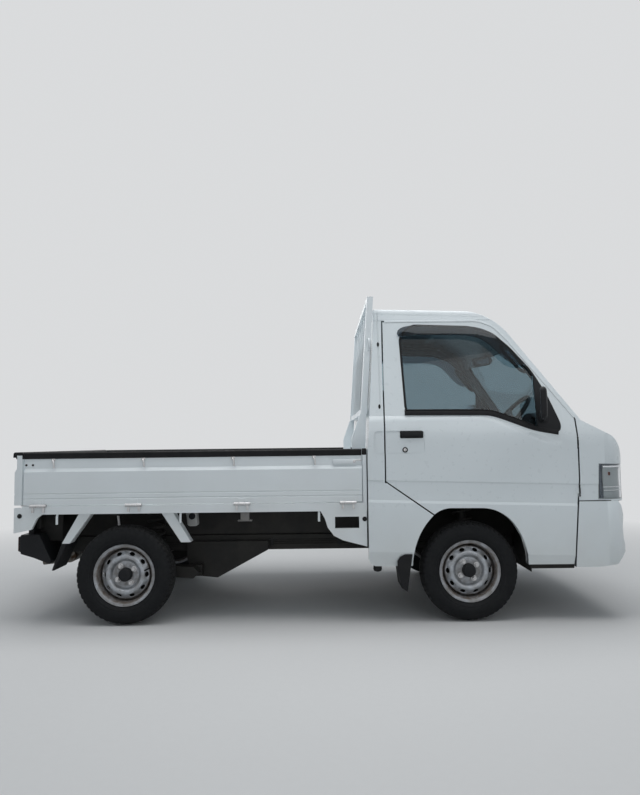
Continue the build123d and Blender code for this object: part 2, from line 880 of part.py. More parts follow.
# Gates with a pressed face: recessed top band, outward step, flat band, two grooves
def gate_face(depth_top, thickness):
    """Cross section: first column is distance in from the outer face, second is height."""
    return [
        (thickness, gate_bottom_z),
        (0, gate_bottom_z),
        (0, 684),
        (4, 688),
        (0, 692),
        (0, 710),
        (4, 714),
        (0, 718),
        (0, 834),
        (depth_top, 852),
        (depth_top, gate_top_z),
        (thickness, gate_top_z),
    ]


side_gate_front_x = headboard_front_x - shut_gap + 2
side_gate_rear_x = tail_inner_x + shut_gap - 2
side_hinge_y = bed_half_width + gate_hinge_offset


def hinge_knuckle(length, radius, hole):
    with BuildPart() as piece:
        Cylinder(radius, length, rotation=(0, 90, 0))
        if hole:
            Cylinder(hole, length + 2, rotation=(0, 90, 0), mode=Mode.SUBTRACT)
    return piece.part


with BuildPart() as side_gate:
    with BuildSketch(Plane.YZ.offset(side_gate_rear_x)):
        with BuildLine():
            Polyline(*[(-bed_half_width + a, z) for a, z in gate_face(12, gate_thickness)], close=True)
        make_face()
    extrude(amount=side_gate_front_x - side_gate_rear_x)
    for x in side_hinge_places:
        add(block(x - 22, x + 22, -bed_half_width - 4, -bed_half_width, gate_bottom_z, gate_bottom_z + 24))
        add(Pos(x, -side_hinge_y, gate_hinge_z) * hinge_knuckle(44, gate_knuckle_radius, 0))
        add(
            Pos(x, -side_hinge_y, gate_hinge_z) * hinge_knuckle(46, gate_pin_radius + pin_clearance, 0),
            mode=Mode.SUBTRACT,
        )
finish_pair(side_gate.part, "side_gate")

with BuildPart() as side_cap:
    with BuildSketch(Plane.YZ.offset(side_gate_rear_x)):
        with BuildLine():
            Polyline(
                (-bed_half_width - cap_side + 12, cap_bottom_z),
                (-bed_half_width - cap_side + 8, cap_top_z - 6),
                (-bed_half_width - cap_side + 14, cap_top_z),
                (-bed_half_width + gate_thickness - 2, cap_top_z),
                (-bed_half_width + gate_thickness + cap_side, cap_top_z - 6),
                (-bed_half_width + gate_thickness + cap_side, cap_bottom_z),
                (-bed_half_width + gate_thickness, cap_bottom_z),
                (-bed_half_width + gate_thickness, gate_top_z),
                (-bed_half_width + 12, gate_top_z),
                (-bed_half_width + 12, cap_bottom_z),
                close=True,
            )
        make_face()
    extrude(amount=side_gate_front_x - side_gate_rear_x)
finish_pair(side_cap.part, "side_gate_cap")

tail_outer_x = rear_end_x + gate_hinge_offset + gate_knuckle_radius
tail_hinge_x = tail_outer_x - gate_hinge_offset
with BuildPart() as tail_gate:
    with BuildSketch(Plane.XZ):
        with BuildLine():
            Polyline(*[(tail_outer_x + a, z) for a, z in gate_face(12, tail_thickness)], close=True)
        make_face()
    extrude(amount=bed_half_width, both=True)
    for y in tail_hinge_places:
        add(
            block(
                tail_outer_x - 4,
                tail_outer_x,
                y - 22,
                y + 22,
                gate_bottom_z,
                gate_bottom_z + 24,
            )
        )
        add(Pos(tail_hinge_x, y, gate_hinge_z) * Rot(0, 0, 90) * hinge_knuckle(44, gate_knuckle_radius, 0))
        add(
            Pos(tail_hinge_x, y, gate_hinge_z)
            * Rot(0, 0, 90)
            * hinge_knuckle(46, gate_pin_radius + pin_clearance, 0),
            mode=Mode.SUBTRACT,
        )
finish(tail_gate.part, "tail_gate")

with BuildPart() as tail_cap:
    with BuildSketch(Plane.XZ):
        with BuildLine():
            Polyline(
                (tail_outer_x + 8, cap_bottom_z),
                (tail_outer_x - cap_side, cap_top_z - 6),
                (tail_outer_x + 4, cap_top_z),
                (tail_outer_x + tail_thickness, cap_top_z),
                (tail_outer_x + tail_thickness + cap_side, cap_top_z - 6),
                (tail_outer_x + tail_thickness + cap_side, cap_bottom_z),
                (tail_outer_x + tail_thickness, cap_bottom_z),
                (tail_outer_x + tail_thickness, gate_top_z),
                (tail_outer_x + 12, gate_top_z),
                (tail_outer_x + 12, cap_bottom_z),
                close=True,
            )
        make_face()
    extrude(amount=bed_half_width, both=True)
finish(tail_cap.part, "tail_gate_cap")

# Wheels
with BuildPart() as tyre:
    with BuildSketch(Plane.YZ):
        with BuildLine():
            Polyline(
                (-rim_half_width, bead_radius),
                (rim_half_width, bead_radius),
                (rim_half_width, flange_radius + 1),
                (tyre_half_width, tyre_radius - 62),
                (tyre_half_width - 9, tyre_radius - 14),
                (tyre_half_width - 34, tyre_radius),
                (-tyre_half_width + 34, tyre_radius),
                (-tyre_half_width + 9, tyre_radius - 14),
                (-tyre_half_width, tyre_radius - 62),
                (-rim_half_width, flange_radius + 1),
                close=True,
            )
        make_face()
    revolve(axis=Axis.Y)

with BuildPart() as rim:
    with BuildSketch(Plane.YZ):
        with BuildLine():
            Polyline(
                (-rim_half_width - flange_thickness, flange_radius),
                (-rim_half_width, flange_radius),
                (-rim_half_width, bead_radius),
                (rim_half_width, bead_radius),
                (rim_half_width, flange_radius),
                (rim_half_width + flange_thickness, flange_radius),
                (rim_half_width + flange_thickness, bead_radius - rim_skin),
                (2, bead_radius - rim_skin),
                (-26, 124),
                (-28, 100),
                (-14, 78),
                (-14, 60),
                (drum_depth, 60),
                (drum_depth, spindle_radius + pin_clearance),
                (-hub_depth, spindle_radius + pin_clearance),
                (-hub_depth, hub_radius),
                (-20, hub_radius),
                (-20, 74),
                (-36, 98),
                (-36, 120),
                (-8, bead_radius - rim_skin),
                (-rim_half_width - flange_thickness, bead_radius - rim_skin),
                close=True,
            )
        make_face()
    revolve(axis=Axis.Y)
    with BuildSketch(Plane.XZ):
        with PolarLocations(hand_hole_circle, hand_hole_count):
            RegularPolygon(12, 8)
    extrude(amount=80, both=True, mode=Mode.SUBTRACT)

wheel_places = {
    "front_right": (front_axle_x, -track_half, 0),
    "front_left": (front_axle_x, track_half, 180),
    "rear_right": (rear_axle_x, -track_half, 0),
    "rear_left": (rear_axle_x, track_half, 180),
}
for name, (x, y, turn) in wheel_places.items():
    place = Pos(x, y, tyre_radius) * Rot(0, 0, turn)
    finish(place * tyre.part, f"tyre_{name}")
    finish(place * rim.part, f"rim_{name}")

# Front suspension: lower arms on the chassis, knuckles that steer with their struts
knuckle_low_z = 215.0
arm_thickness = 26.0
with BuildPart() as knuckle:
    with BuildSketch(strut_plane(knuckle_low_z)):
        Circle(strut_radius)
    extrude(amount=seat_base_z - knuckle_low_z - 50)
    with BuildSketch(strut_plane(knuckle_low_z - arm_thickness - 4)):
        Circle(ball_radius)
    extrude(amount=arm_thickness + 10)
    with BuildSketch(strut_plane(seat_base_z - 60)):
        Circle(ball_radius)
    extrude(amount=50)
    with BuildSketch(Plane.XZ.offset(track_half - drum_depth - 34)):
        with Locations((front_axle_x, tyre_radius)):
            Circle(52)
    extrude(amount=28)
    with BuildSketch(Plane.XZ.offset(track_half - drum_depth - 40)):
        with Locations((front_axle_x, tyre_radius)):
            Circle(spindle_radius)
    extrude(amount=drum_depth + 40 + hub_depth - 4)
    add(block(front_axle_x - 30, front_axle_x + 30, -track_half + drum_depth + 10, -535, 238, 298))
finish_pair(knuckle.part, "front_knuckle")

arm_plane = strut_plane(knuckle_low_z - arm_thickness - 2)
with BuildPart() as front_arms:
    with BuildSketch(arm_plane):
        Circle(26)
    extrude(amount=arm_thickness)
    add(block(front_axle_x - 24, front_axle_x + 24, -545, -rail_y + 30, 185, 210))
    add(block(front_axle_x - 24, front_axle_x + 24, -rail_y - 30, -rail_y + 30, 185, rail_bottom_z))
    with BuildSketch(arm_plane):
        Circle(ball_radius + pin_clearance)
    extrude(amount=60, both=True, mode=Mode.SUBTRACT)
    mirror(about=Plane.XZ)
finish(front_arms.part, "front_arms")

# Rear trailing arms with spindles
with BuildPart() as rear_arms:
    with BuildSketch(Plane.XZ.offset(track_half - drum_depth - 34)):
        with Locations((rear_axle_x, tyre_radius)):
            Circle(70)
    extrude(amount=28)
    with BuildSketch(Plane.XZ.offset(track_half - drum_depth - 40)):
        with Locations((rear_axle_x, tyre_radius)):
            Circle(spindle_radius)
    extrude(amount=drum_depth + 40 + hub_depth - 4)
    add(
        slab(
            [
                (rear_axle_x - 48, 240),
                (rear_axle_x - 48, 296),
                (rear_axle_x + 342, 276),
                (rear_axle_x + 380, 244),
                (rear_axle_x + 342, 212),
            ],
            -520,
            -440,
        )
    )
    with BuildSketch(Plane.XZ.offset(500)):
        with Locations((rear_axle_x, tyre_radius)):
            Circle(55)
    extrude(amount=track_half - drum_depth - 30 - 500)
    bracket = [
        (rear_axle_x + 762, rail_bottom_z + 4),
        (rear_axle_x + 463, 190),
        (rear_axle_x + 317, 205),
        (rear_axle_x + 282, 300),
        (rear_axle_x + 282, rail_bottom_z + 55),
        (rear_axle_x + 762, rail_bottom_z + 55),
    ]
    rail_side_y = -rail_y - rail_width / 2 - seat_gap
    add(slab(bracket, rail_side_y - 30, rail_side_y))
    add(block(rear_axle_x + 320, rear_axle_x + 380, -450, rail_side_y - 20, 212, 276))
    mirror(about=Plane.XZ)
finish(rear_arms.part, "rear_arms")

# Gate hinges: pins and lugs fixed to the sills and the rear sill
lug_width = 12.0
with BuildPart() as gate_hinges:
    for side in (-1, 1):
        y_pin = side * side_hinge_y
        y_face = side * bed_half_width
        for x in side_hinge_places:
            add(Pos(x, y_pin, gate_hinge_z) * hinge_knuckle(44 + 2 * lug_width + 4, gate_pin_radius, 0))
            for shift in (-22 - 1 - lug_width / 2, 22 + 1 + lug_width / 2):
                add(Pos(x + shift, y_pin, gate_hinge_z) * hinge_knuckle(lug_width, gate_knuckle_radius, 0))
                add(
                    block(
                        x + shift - lug_width / 2,
                        x + shift + lug_width / 2,
                        min(y_face, y_pin),
                        max(y_face, y_pin),
                        gate_hinge_z - 36,
                        gate_hinge_z,
                    )
                )
    for y in tail_hinge_places:
        at_pin = Pos(tail_hinge_x, y, gate_hinge_z) * Rot(0, 0, 90)
        add(at_pin * hinge_knuckle(44 + 2 * lug_width + 4, gate_pin_radius, 0))
        for shift in (-22 - 1 - lug_width / 2, 22 + 1 + lug_width / 2):
            add(at_pin * Pos(shift, 0, 0) * hinge_knuckle(lug_width, gate_knuckle_radius, 0))
            add(
                block(
                    tail_hinge_x,
                    sill_rear_x,
                    y + shift - lug_width / 2,
                    y + shift + lug_width / 2,
                    gate_hinge_z - 36,
                    gate_hinge_z - 8,
                )
            )
            add(
                block(
                    tail_hinge_x - 8,
                    tail_hinge_x + 6,
                    y + shift - lug_width / 2,
                    y + shift + lug_width / 2,
                    gate_hinge_z - 12,
                    gate_hinge_z,
                )
            )
finish(gate_hinges.part, "gate_hinges")

# Mudguards: slanted white stays with rubber flaps, and the front flaps behind the arch
stay_outer_y = 690.0
with BuildPart() as stays:
    for outline in (
        [
            (rear_axle_x - 254, sill_bottom_z),
            (rear_axle_x - 186, sill_bottom_z),
            (rear_axle_x - 301, 441),
            (rear_axle_x - 346, 441),
        ],
        [
            (rear_axle_x + 198, sill_bottom_z),
            (rear_axle_x + 265, sill_bottom_z),
            (rear_axle_x + 362, 441),
            (rear_axle_x + 307, 441),
        ],
    ):
        add(slab(outline, -stay_outer_y, -stay_outer_y + 70))
    mirror(about=Plane.XZ)
finish(stays.part, "mudguard_stays")

with BuildPart() as rear_flaps:
    outline = [
        (rear_axle_x - 346, 441 - seat_gap),
        (rear_axle_x - 318, 441 - seat_gap),
        (rear_axle_x - 384, 297),
        (rear_axle_x - 398, 297),
    ]
    add(slab(outline, -stay_outer_y, -stay_outer_y + 180))
    mirror(about=Plane.XZ)
finish(rear_flaps.part, "rear_flaps")

flap_x = front_axle_x - 393
flap_top_z = cab_bottom_z - seat_gap
flap_side_y = -cab_half_width - seat_gap
with BuildPart() as front_flaps:
    add(slab([(flap_x, flap_top_z), (flap_x + 60, flap_top_z), (flap_x + 46, 171), (flap_x + 14, 190)], -740, -560))
    skirt = [
        (flap_x + 14, 190),
        (flap_x - 7, 300),
        (flap_x - 7, 335),
        (flap_x + 8, 357),
        (flap_x + 34, 370),
        (flap_x + 76, 370),
        (flap_x + 46, 171),
    ]
    add(slab(skirt, flap_side_y - 4, flap_side_y))
    mirror(about=Plane.XZ)
finish(front_flaps.part, "front_flaps")

# Tail lamps: a lens on the rear of a dark hood that hangs under the deck
lamp_hood_x = sill_rear_x - 26
with BuildPart() as tail_lamps:
    hood = [
        (lamp_hood_x, 489),
        (lamp_hood_x, 385),
        (lamp_hood_x + 72, 363),
        (lamp_hood_x + 162, 328),
        (lamp_hood_x + 172, 345),
        (lamp_hood_x + 102, 489),
    ]
    add(slab(hood, -668, -430))
    add(block(lamp_hood_x - 10, lamp_hood_x, -660, -438, 394, 480))
    add(block(sill_rear_x + 5, sill_rear_x + 35, -640, -460, 480, sill_bottom_z - seat_gap))
    mirror(about=Plane.XZ)
finish(tail_lamps.part, "tail_lamps")

# Engine, silencer and fuel tank
engine_rear_x = rear_axle_x - 388 + seat_gap
with BuildPart() as engine:
    add(block(engine_rear_x, engine_rear_x + 300, -240, 290, 300, 540))
finish(engine.part, "engine")

with BuildPart() as silencer:
    with BuildSketch(Plane.XZ.offset(-250)):
        with Locations((rear_axle_x - 478, 300)):
            SlotOverall(100, 72)
    extrude(amount=500)
    for y in (-200, 200):
        add(block(rear_axle_x - 448, rear_axle_x - 423, y - 15, y + 15, 300, rail_bottom_z + 10 - seat_gap))
finish(silencer.part, "silencer")

with BuildPart() as tank:
    tank_side_y = rail_y + rail_width / 2 + seat_gap
    tank_rear_x = rear_axle_x + 782
    add(block(tank_rear_x, tank_rear_x + 450, tank_side_y, tank_side_y + 235, 330, 500))
    fillet(edges().filter_by(Axis.X), 25)
finish(tank.part, "fuel_tank")

# Interior mirror: its arm reaches forward to the windscreen
mirror_head_x = nose_front_x - 630
screen_touch_x = nose_front_x - 545.5
with BuildPart() as inner_mirror:
    add(block(mirror_head_x, mirror_head_x + 18, -110, 110, 1470, 1530))
    add(block(mirror_head_x + 10, screen_touch_x, -8, 8, 1500, 1512))
finish(inner_mirror.part, "interior_mirror")
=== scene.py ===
import math
import random

import bmesh
import bpy
from mathutils import Matrix, Vector


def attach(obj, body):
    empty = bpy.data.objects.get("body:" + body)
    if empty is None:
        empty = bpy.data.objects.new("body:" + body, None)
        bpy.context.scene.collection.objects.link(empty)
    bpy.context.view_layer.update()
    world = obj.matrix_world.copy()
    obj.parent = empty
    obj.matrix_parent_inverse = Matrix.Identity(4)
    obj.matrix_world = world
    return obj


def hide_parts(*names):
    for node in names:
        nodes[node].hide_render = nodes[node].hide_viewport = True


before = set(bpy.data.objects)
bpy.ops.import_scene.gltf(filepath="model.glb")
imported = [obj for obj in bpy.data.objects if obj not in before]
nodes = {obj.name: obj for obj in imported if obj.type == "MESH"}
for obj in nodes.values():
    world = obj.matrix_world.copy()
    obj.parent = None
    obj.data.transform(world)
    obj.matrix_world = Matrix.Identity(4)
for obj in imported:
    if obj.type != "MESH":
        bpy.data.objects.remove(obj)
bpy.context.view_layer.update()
random.seed(11)
print("frame loaded with", len(nodes), "nodes")

scene = bpy.context.scene
scene.view_settings.view_transform = "Standard"

# camera at the photograph's place, on the driver's side

photoCamera = {
    "place": (-0.016, -4.317, 0.972),
    "yaw": 0.19,
    "pitch": 4.03,
    "roll": -0.68,
    "lens": 36.76,
}


def aimCamera(look):
    yaw, pitch, roll = (math.radians(look[k]) for k in ("yaw", "pitch", "roll"))
    right = Vector((math.cos(yaw), -math.sin(yaw), 0))
    ahead = Vector((math.sin(yaw) * math.cos(pitch), math.cos(yaw) * math.cos(pitch), math.sin(pitch)))
    up = right.cross(ahead)
    rightRolled = right * math.cos(roll) + up * math.sin(roll)
    upRolled = up * math.cos(roll) - right * math.sin(roll)
    data = bpy.data.cameras.new("photoCamera")
    data.sensor_fit = "HORIZONTAL"
    data.sensor_width = 36
    data.lens = look["lens"]
    camera = bpy.data.objects.new("photoCamera", data)
    turned = Matrix((rightRolled, upRolled, -ahead)).transposed().to_4x4()
    camera.matrix_world = Matrix.Translation(look["place"]) @ turned
    scene.collection.objects.link(camera)
    scene.camera = camera


aimCamera(photoCamera)

# node helpers for the finishes


def newFinish(name):
    finish = bpy.data.materials.new(name)
    finish.use_nodes = True
    tree = finish.node_tree
    return finish, tree, tree.nodes["Principled BSDF"]


def addNode(tree, kind, **values):
    node = tree.nodes.new(kind)
    for key, value in values.items():
        setattr(node, key, value)
    return node


def noiseOf(tree, place, scale, detail=4.0, roughness=0.55):
    noise = addNode(tree, "ShaderNodeTexNoise")
    noise.inputs["Scale"].default_value = scale
    noise.inputs["Detail"].default_value = detail
    noise.inputs["Roughness"].default_value = roughness
    tree.links.new(place, noise.inputs["Vector"])
    return noise.outputs["Fac"]


def rampOf(tree, value, low, high, floor=0.0, top=1.0):
    span = addNode(tree, "ShaderNodeMapRange")
    span.inputs["From Min"].default_value = low
    span.inputs["From Max"].default_value = high
    span.inputs["To Min"].default_value = floor
    span.inputs["To Max"].default_value = top
    tree.links.new(value, span.inputs["Value"])
    return span.outputs["Result"]


def mathOf(tree, operation, first, second):
    step = addNode(tree, "ShaderNodeMath", operation=operation)
    for socket, value in zip(step.inputs, (first, second)):
        if isinstance(value, (int, float)):
            socket.default_value = value
        else:
            tree.links.new(value, socket)
    return step.outputs["Value"]


def mixOf(tree, share, first, second):
    mix = addNode(tree, "ShaderNodeMix", data_type="RGBA")
    for socket, value in zip((mix.inputs[6], mix.inputs[7]), (first, second)):
        if isinstance(value, tuple):
            socket.default_value = (*value, 1.0)
        else:
            tree.links.new(value, socket)
    if isinstance(share, (int, float)):
        mix.inputs[0].default_value = share
    else:
        tree.links.new(share, mix.inputs[0])
    return mix.outputs[2]


def bumpOf(tree, height, distance, strength=1.0, under=None):
    bump = addNode(tree, "ShaderNodeBump")
    bump.inputs["Distance"].default_value = distance
    bump.inputs["Strength"].default_value = strength
    tree.links.new(height, bump.inputs["Height"])
    if under is not None:
        tree.links.new(under, bump.inputs["Normal"])
    return bump.outputs["Normal"]


def placeOf(tree):
    coords = addNode(tree, "ShaderNodeTexCoord")
    return coords.outputs["Object"]


def heightOf(tree, place):
    split = addNode(tree, "ShaderNodeSeparateXYZ")
    tree.links.new(place, split.inputs["Vector"])
    return split.outputs["Z"]


def join(tree, output, shader, socket):
    tree.links.new(output, shader.inputs[socket])


def facesRoom(tree, middle):
    # 1 on the faces that look towards the middle of the cab, 0 on those that look away from it
    coords = addNode(tree, "ShaderNodeTexCoord")
    away = addNode(tree, "ShaderNodeVectorMath", operation="SUBTRACT")
    away.inputs[1].default_value = middle
    tree.links.new(coords.outputs["Object"], away.inputs[0])
    turned = addNode(tree, "ShaderNodeVectorMath", operation="DOT_PRODUCT")
    tree.links.new(away.outputs[0], turned.inputs[0])
    tree.links.new(coords.outputs["Normal"], turned.inputs[1])
    return rampOf(tree, turned.outputs["Value"], -0.02, -0.05)


def radiusFrom(tree, place, centre):
    # distance from a wheel's axle
    away = addNode(tree, "ShaderNodeVectorMath", operation="SUBTRACT")
    away.inputs[1].default_value = centre
    tree.links.new(place, away.inputs[0])
    flat = addNode(tree, "ShaderNodeVectorMath", operation="MULTIPLY")
    flat.inputs[1].default_value = (1, 0, 1)
    tree.links.new(away.outputs[0], flat.inputs[0])
    reach = addNode(tree, "ShaderNodeVectorMath", operation="LENGTH")
    tree.links.new(flat.outputs[0], reach.inputs[0])
    return reach.outputs["Value"]


# painted sheet metal: clear gloss over white, road film that thickens towards the sills


def pressedLines(tree, place, look):
    # the shoulder under the windows, the soft crease below it and the groove in the pillar, in metres
    split = addNode(tree, "ShaderNodeSeparateXYZ")
    tree.links.new(place, split.inputs["Vector"])
    x, y, z = split.outputs["X"], split.outputs["Y"], split.outputs["Z"]
    level = mathOf(
        tree, "ADD", z, mathOf(tree, "MULTIPLY", mathOf(tree, "SUBTRACT", x, look["rear"]), look["slope"])
    )
    away = mathOf(tree, "ABSOLUTE", mathOf(tree, "SUBTRACT", level, look["crease"]), 0.0)
    near = mathOf(tree, "MAXIMUM", mathOf(tree, "SUBTRACT", look["creaseWidth"], away), 0.0)
    bend = look["creaseTilt"] / (4 * look["creaseWidth"])
    soft = mathOf(tree, "MULTIPLY", mathOf(tree, "MULTIPLY", near, near), -bend)
    edge = rampOf(
        tree, x, look["dropFrom"], look["dropTo"], look["shoulder"], look["shoulder"] - look["drop"]
    )
    above = mathOf(tree, "ADD", mathOf(tree, "SUBTRACT", z, edge), look["shoulderWidth"])
    above = mathOf(tree, "MINIMUM", mathOf(tree, "MAXIMUM", above, 0.0), look["shoulderWidth"])
    rounded = mathOf(
        tree, "MULTIPLY", mathOf(tree, "MULTIPLY", above, above),
        -look["shoulderTilt"] / (2 * look["shoulderWidth"]),
    )
    groove = mathOf(tree, "ABSOLUTE", mathOf(tree, "SUBTRACT", x, look["groove"]), 0.0)
    groove = rampOf(tree, groove, 0.0012, 0.0042, -0.0025, 0.0)
    groove = mathOf(tree, "MULTIPLY", groove, rampOf(tree, z, look["grooveFoot"], look["grooveFoot"] + 0.01))
    fade = rampOf(tree, x, look["fadeFrom"], look["fadeTo"], 1.0, 0.0)
    side = rampOf(tree, mathOf(tree, "ABSOLUTE", y, 0.0), look["sideFrom"], look["sideFrom"] + 0.02)
    lines = mathOf(tree, "ADD", soft, mathOf(tree, "MULTIPLY", mathOf(tree, "ADD", rounded, groove), fade))
    return mathOf(tree, "MULTIPLY", lines, side)


def paintFinish(name, look):
    finish, tree, shader = newFinish(name)
    place = placeOf(tree)
    low = rampOf(tree, heightOf(tree, place), look["filmTop"], look["filmFoot"])
    streaks = noiseOf(tree, place, 5.0, 6.0)
    film = mathOf(tree, "MULTIPLY", low, rampOf(tree, streaks, 0.25, 0.75, 0.25, 1.0))
    specks = rampOf(tree, noiseOf(tree, place, 240.0, 3.0), 0.70, 0.78, 0.0, look["specks"])
    dirt = mathOf(tree, "MAXIMUM", mathOf(tree, "MULTIPLY", film, look["film"]), specks)
    cloud = mixOf(tree, rampOf(tree, noiseOf(tree, place, 1.7), 0.3, 0.7), look["colour"], look["shade"])
    colour = mixOf(tree, dirt, cloud, look["dirt"])
    # faces inside the cab take a dark lining colour: partly the trim's own grey, partly painted shade of the
    # cab's inside
    if "liningAndShade" in look:
        colour = mixOf(tree, facesRoom(tree, look["roomMiddle"]), colour, look["liningAndShade"])
    join(tree, colour, shader, "Base Color")
    gloss = rampOf(tree, noiseOf(tree, place, 34.0), 0.3, 0.7, look["gloss"], look["gloss"] + 0.07)
    rough = mathOf(tree, "ADD", gloss, mathOf(tree, "MULTIPLY", dirt, 0.5))
    join(tree, rough, shader, "Roughness")
    skin = bumpOf(tree, noiseOf(tree, place, 380.0, 2.0), 0.00008)
    if "pressed" in look:
        skin = bumpOf(tree, pressedLines(tree, place, look["pressed"]), 1.0, 1.0, skin)
    join(tree, skin, shader, "Normal")
    shader.inputs["Coat Weight"].default_value = look["coat"]
    shader.inputs["Coat Roughness"].default_value = 0.06
    return finish


# white paint, cooled and dimmed to blue-grey: painted sky shade on the whole body
bodyWhite = paintFinish("bodyWhite", {
    "colour": (0.745, 0.80, 0.825),
    "shade": (0.705, 0.76, 0.785),
    "dirt": (0.42, 0.38, 0.31),
    "filmTop": 0.62,
    "filmFoot": 0.28,
    "film": 0.32,
    "specks": 0.10,
    "gloss": 0.26,
    "coat": 0.55,
    # inner faces: trim grey darkened and blued as painted shade
    "liningAndShade": (0.085, 0.095, 0.105),
    "roomMiddle": (0.85, 0.0, 1.10),
    "pressed": {
        "rear": 0.252, "slope": 0.029, "crease": 1.040, "creaseWidth": 0.055, "creaseTilt": 0.208,
        "shoulder": 1.119, "shoulderWidth": 0.034, "shoulderTilt": 0.75,
        "drop": 0.145, "dropFrom": 0.900, "dropTo": 1.270,
        "groove": 0.329, "grooveFoot": 1.180, "fadeFrom": 1.215, "fadeTo": 1.330, "sideFrom": 0.585,
    },
})
# the same white, lighter and bluer than the cab's: painted sky light on the bed
bedWhite = paintFinish("bedWhite", {
    "colour": (0.80, 0.85, 0.875),
    "shade": (0.75, 0.80, 0.825),
    "dirt": (0.40, 0.35, 0.28),
    "filmTop": 0.95,
    "filmFoot": 0.40,
    "film": 0.30,
    "specks": 0.30,
    "gloss": 0.34,
    "coat": 0.25,
})


# moulded plastic and rubber: fine grain, a dusty bloom on faces that look up


def mouldedFinish(name, look):
    finish, tree, shader = newFinish(name)
    place = placeOf(tree)
    facing = addNode(tree, "ShaderNodeNewGeometry")
    split = addNode(tree, "ShaderNodeSeparateXYZ")
    tree.links.new(facing.outputs["Normal"], split.inputs["Vector"])
    bloom = mathOf(
        tree,
        "MULTIPLY",
        rampOf(tree, split.outputs["Z"], 0.2, 1.0, 0.25, 1.0),
        rampOf(tree, noiseOf(tree, place, 14.0, 6.0), 0.35, 0.75, 0.0, look["bloom"]),
    )
    join(tree, mixOf(tree, bloom, look["colour"], look["dust"]), shader, "Base Color")
    rough = mathOf(tree, "ADD", rampOf(tree, noiseOf(tree, place, 60.0), 0.3, 0.7, 0.0, 0.12), look["rough"])
    join(tree, rough, shader, "Roughness")
    shader.inputs["Specular IOR Level"].default_value = look["gloss"]
    grain = noiseOf(tree, place, look["grainScale"], 2.0)
    join(tree, bumpOf(tree, grain, look["grain"]), shader, "Normal")
    return finish


# blacks darker and bluer than bare plastic and rubber: partly their own black, partly painted shade
blackPlastic = mouldedFinish("blackPlastic", {
    "colour": (0.0095, 0.0105, 0.0125), "dust": (0.13, 0.125, 0.115), "bloom": 0.12,
    "gloss": 0.2, "rough": 0.42, "grain": 0.0003, "grainScale": 1500.0,
})
blackRubber = mouldedFinish("blackRubber", {
    "colour": (0.0095, 0.010, 0.0115), "dust": (0.15, 0.14, 0.125), "bloom": 0.18,
    "gloss": 0.2, "rough": 0.55, "grain": 0.0002, "grainScale": 900.0,
})
cabinGrey = mouldedFinish("cabinGrey", {
    "colour": (0.15, 0.15, 0.16), "dust": (0.30, 0.29, 0.27), "bloom": 0.10,
    "gloss": 0.4, "rough": 0.50, "grain": 0.0005, "grainScale": 1100.0,
})
plateBlank = mouldedFinish("plateBlank", {
    "colour": (0.70, 0.70, 0.68), "dust": (0.45, 0.42, 0.37), "bloom": 0.20,
    "gloss": 0.5, "rough": 0.35, "grain": 0.0001, "grainScale": 700.0,
})
lampFrame = mouldedFinish("lampFrame", {
    "colour": (0.085, 0.105, 0.130), "dust": (0.16, 0.155, 0.15), "bloom": 0.10,
    "gloss": 0.4, "rough": 0.38, "grain": 0.0002, "grainScale": 1100.0,
})
lampGrey = mouldedFinish("lampGrey", {
    "colour": (0.36, 0.40, 0.41), "dust": (0.40, 0.39, 0.37), "bloom": 0.10,
    "gloss": 0.5, "rough": 0.30, "grain": 0.0001, "grainScale": 1200.0,
})
cabinLight = mouldedFinish("cabinLight", {
    "colour": (0.42, 0.42, 0.41), "dust": (0.34, 0.33, 0.30), "bloom": 0.12,
    "gloss": 0.4, "rough": 0.58, "grain": 0.0005, "grainScale": 800.0,
})
floorMat = mouldedFinish("floorMat", {
    "colour": (0.035, 0.035, 0.036), "dust": (0.22, 0.20, 0.17), "bloom": 0.45,
    "gloss": 0.25, "rough": 0.7, "grain": 0.0012, "grainScale": 420.0,
})


# black chassis coat, engine metal and pipe steel, with road dust and patches of rust


def chassisFinish(name, look):
    finish, tree, shader = newFinish(name)
    place = placeOf(tree)
    spread = noiseOf(tree, place, look["rustScale"], 8.0, 0.65)
    rust = rampOf(tree, spread, look["rustFrom"], look["rustFrom"] + 0.1)
    dust = rampOf(tree, noiseOf(tree, place, 9.0, 6.0), 0.35, 0.8, 0.05, look["dust"])
    base = mixOf(tree, dust, look["colour"], (0.24, 0.22, 0.18))
    join(tree, mixOf(tree, rust, base, look["rust"]), shader, "Base Color")
    join(tree, rampOf(tree, rust, 0.0, 1.0, look["rough"], 0.9), shader, "Roughness")
    join(tree, bumpOf(tree, noiseOf(tree, place, 160.0, 6.0), 0.0006), shader, "Normal")
    shader.inputs["Metallic"].default_value = look["metal"]
    shader.inputs["Specular IOR Level"].default_value = look["gloss"]
    return finish


# chassis blacks darker and bluer than bare paint: partly their own black, partly painted shade under the
# truck
chassisBlack = chassisFinish("chassisBlack", {
    "colour": (0.0105, 0.011, 0.0125), "rust": (0.095, 0.050, 0.030), "rustScale": 14.0, "rustFrom": 0.66,
    "dust": 0.12, "rough": 0.6, "metal": 0.0, "gloss": 0.20,
})
underCoat = chassisFinish("underCoat", {
    "colour": (0.0105, 0.011, 0.012), "rust": (0.075, 0.042, 0.028), "rustScale": 9.0, "rustFrom": 0.68,
    "dust": 0.10, "rough": 0.75, "metal": 0.0, "gloss": 0.15,
})
engineMetal = chassisFinish("engineMetal", {
    "colour": (0.20, 0.20, 0.20), "rust": (0.16, 0.09, 0.05), "rustScale": 22.0, "rustFrom": 0.60,
    "dust": 0.40, "rough": 0.5, "metal": 0.6, "gloss": 0.5,
})
pipeSteel = chassisFinish("pipeSteel", {
    "colour": (0.20, 0.19, 0.18), "rust": (0.125, 0.078, 0.050), "rustScale": 18.0, "rustFrom": 0.50,
    "dust": 0.25, "rough": 0.45, "metal": 0.7, "gloss": 0.5,
})


# zinc plated steel with spangle, for hinges, latches, bolts and nuts


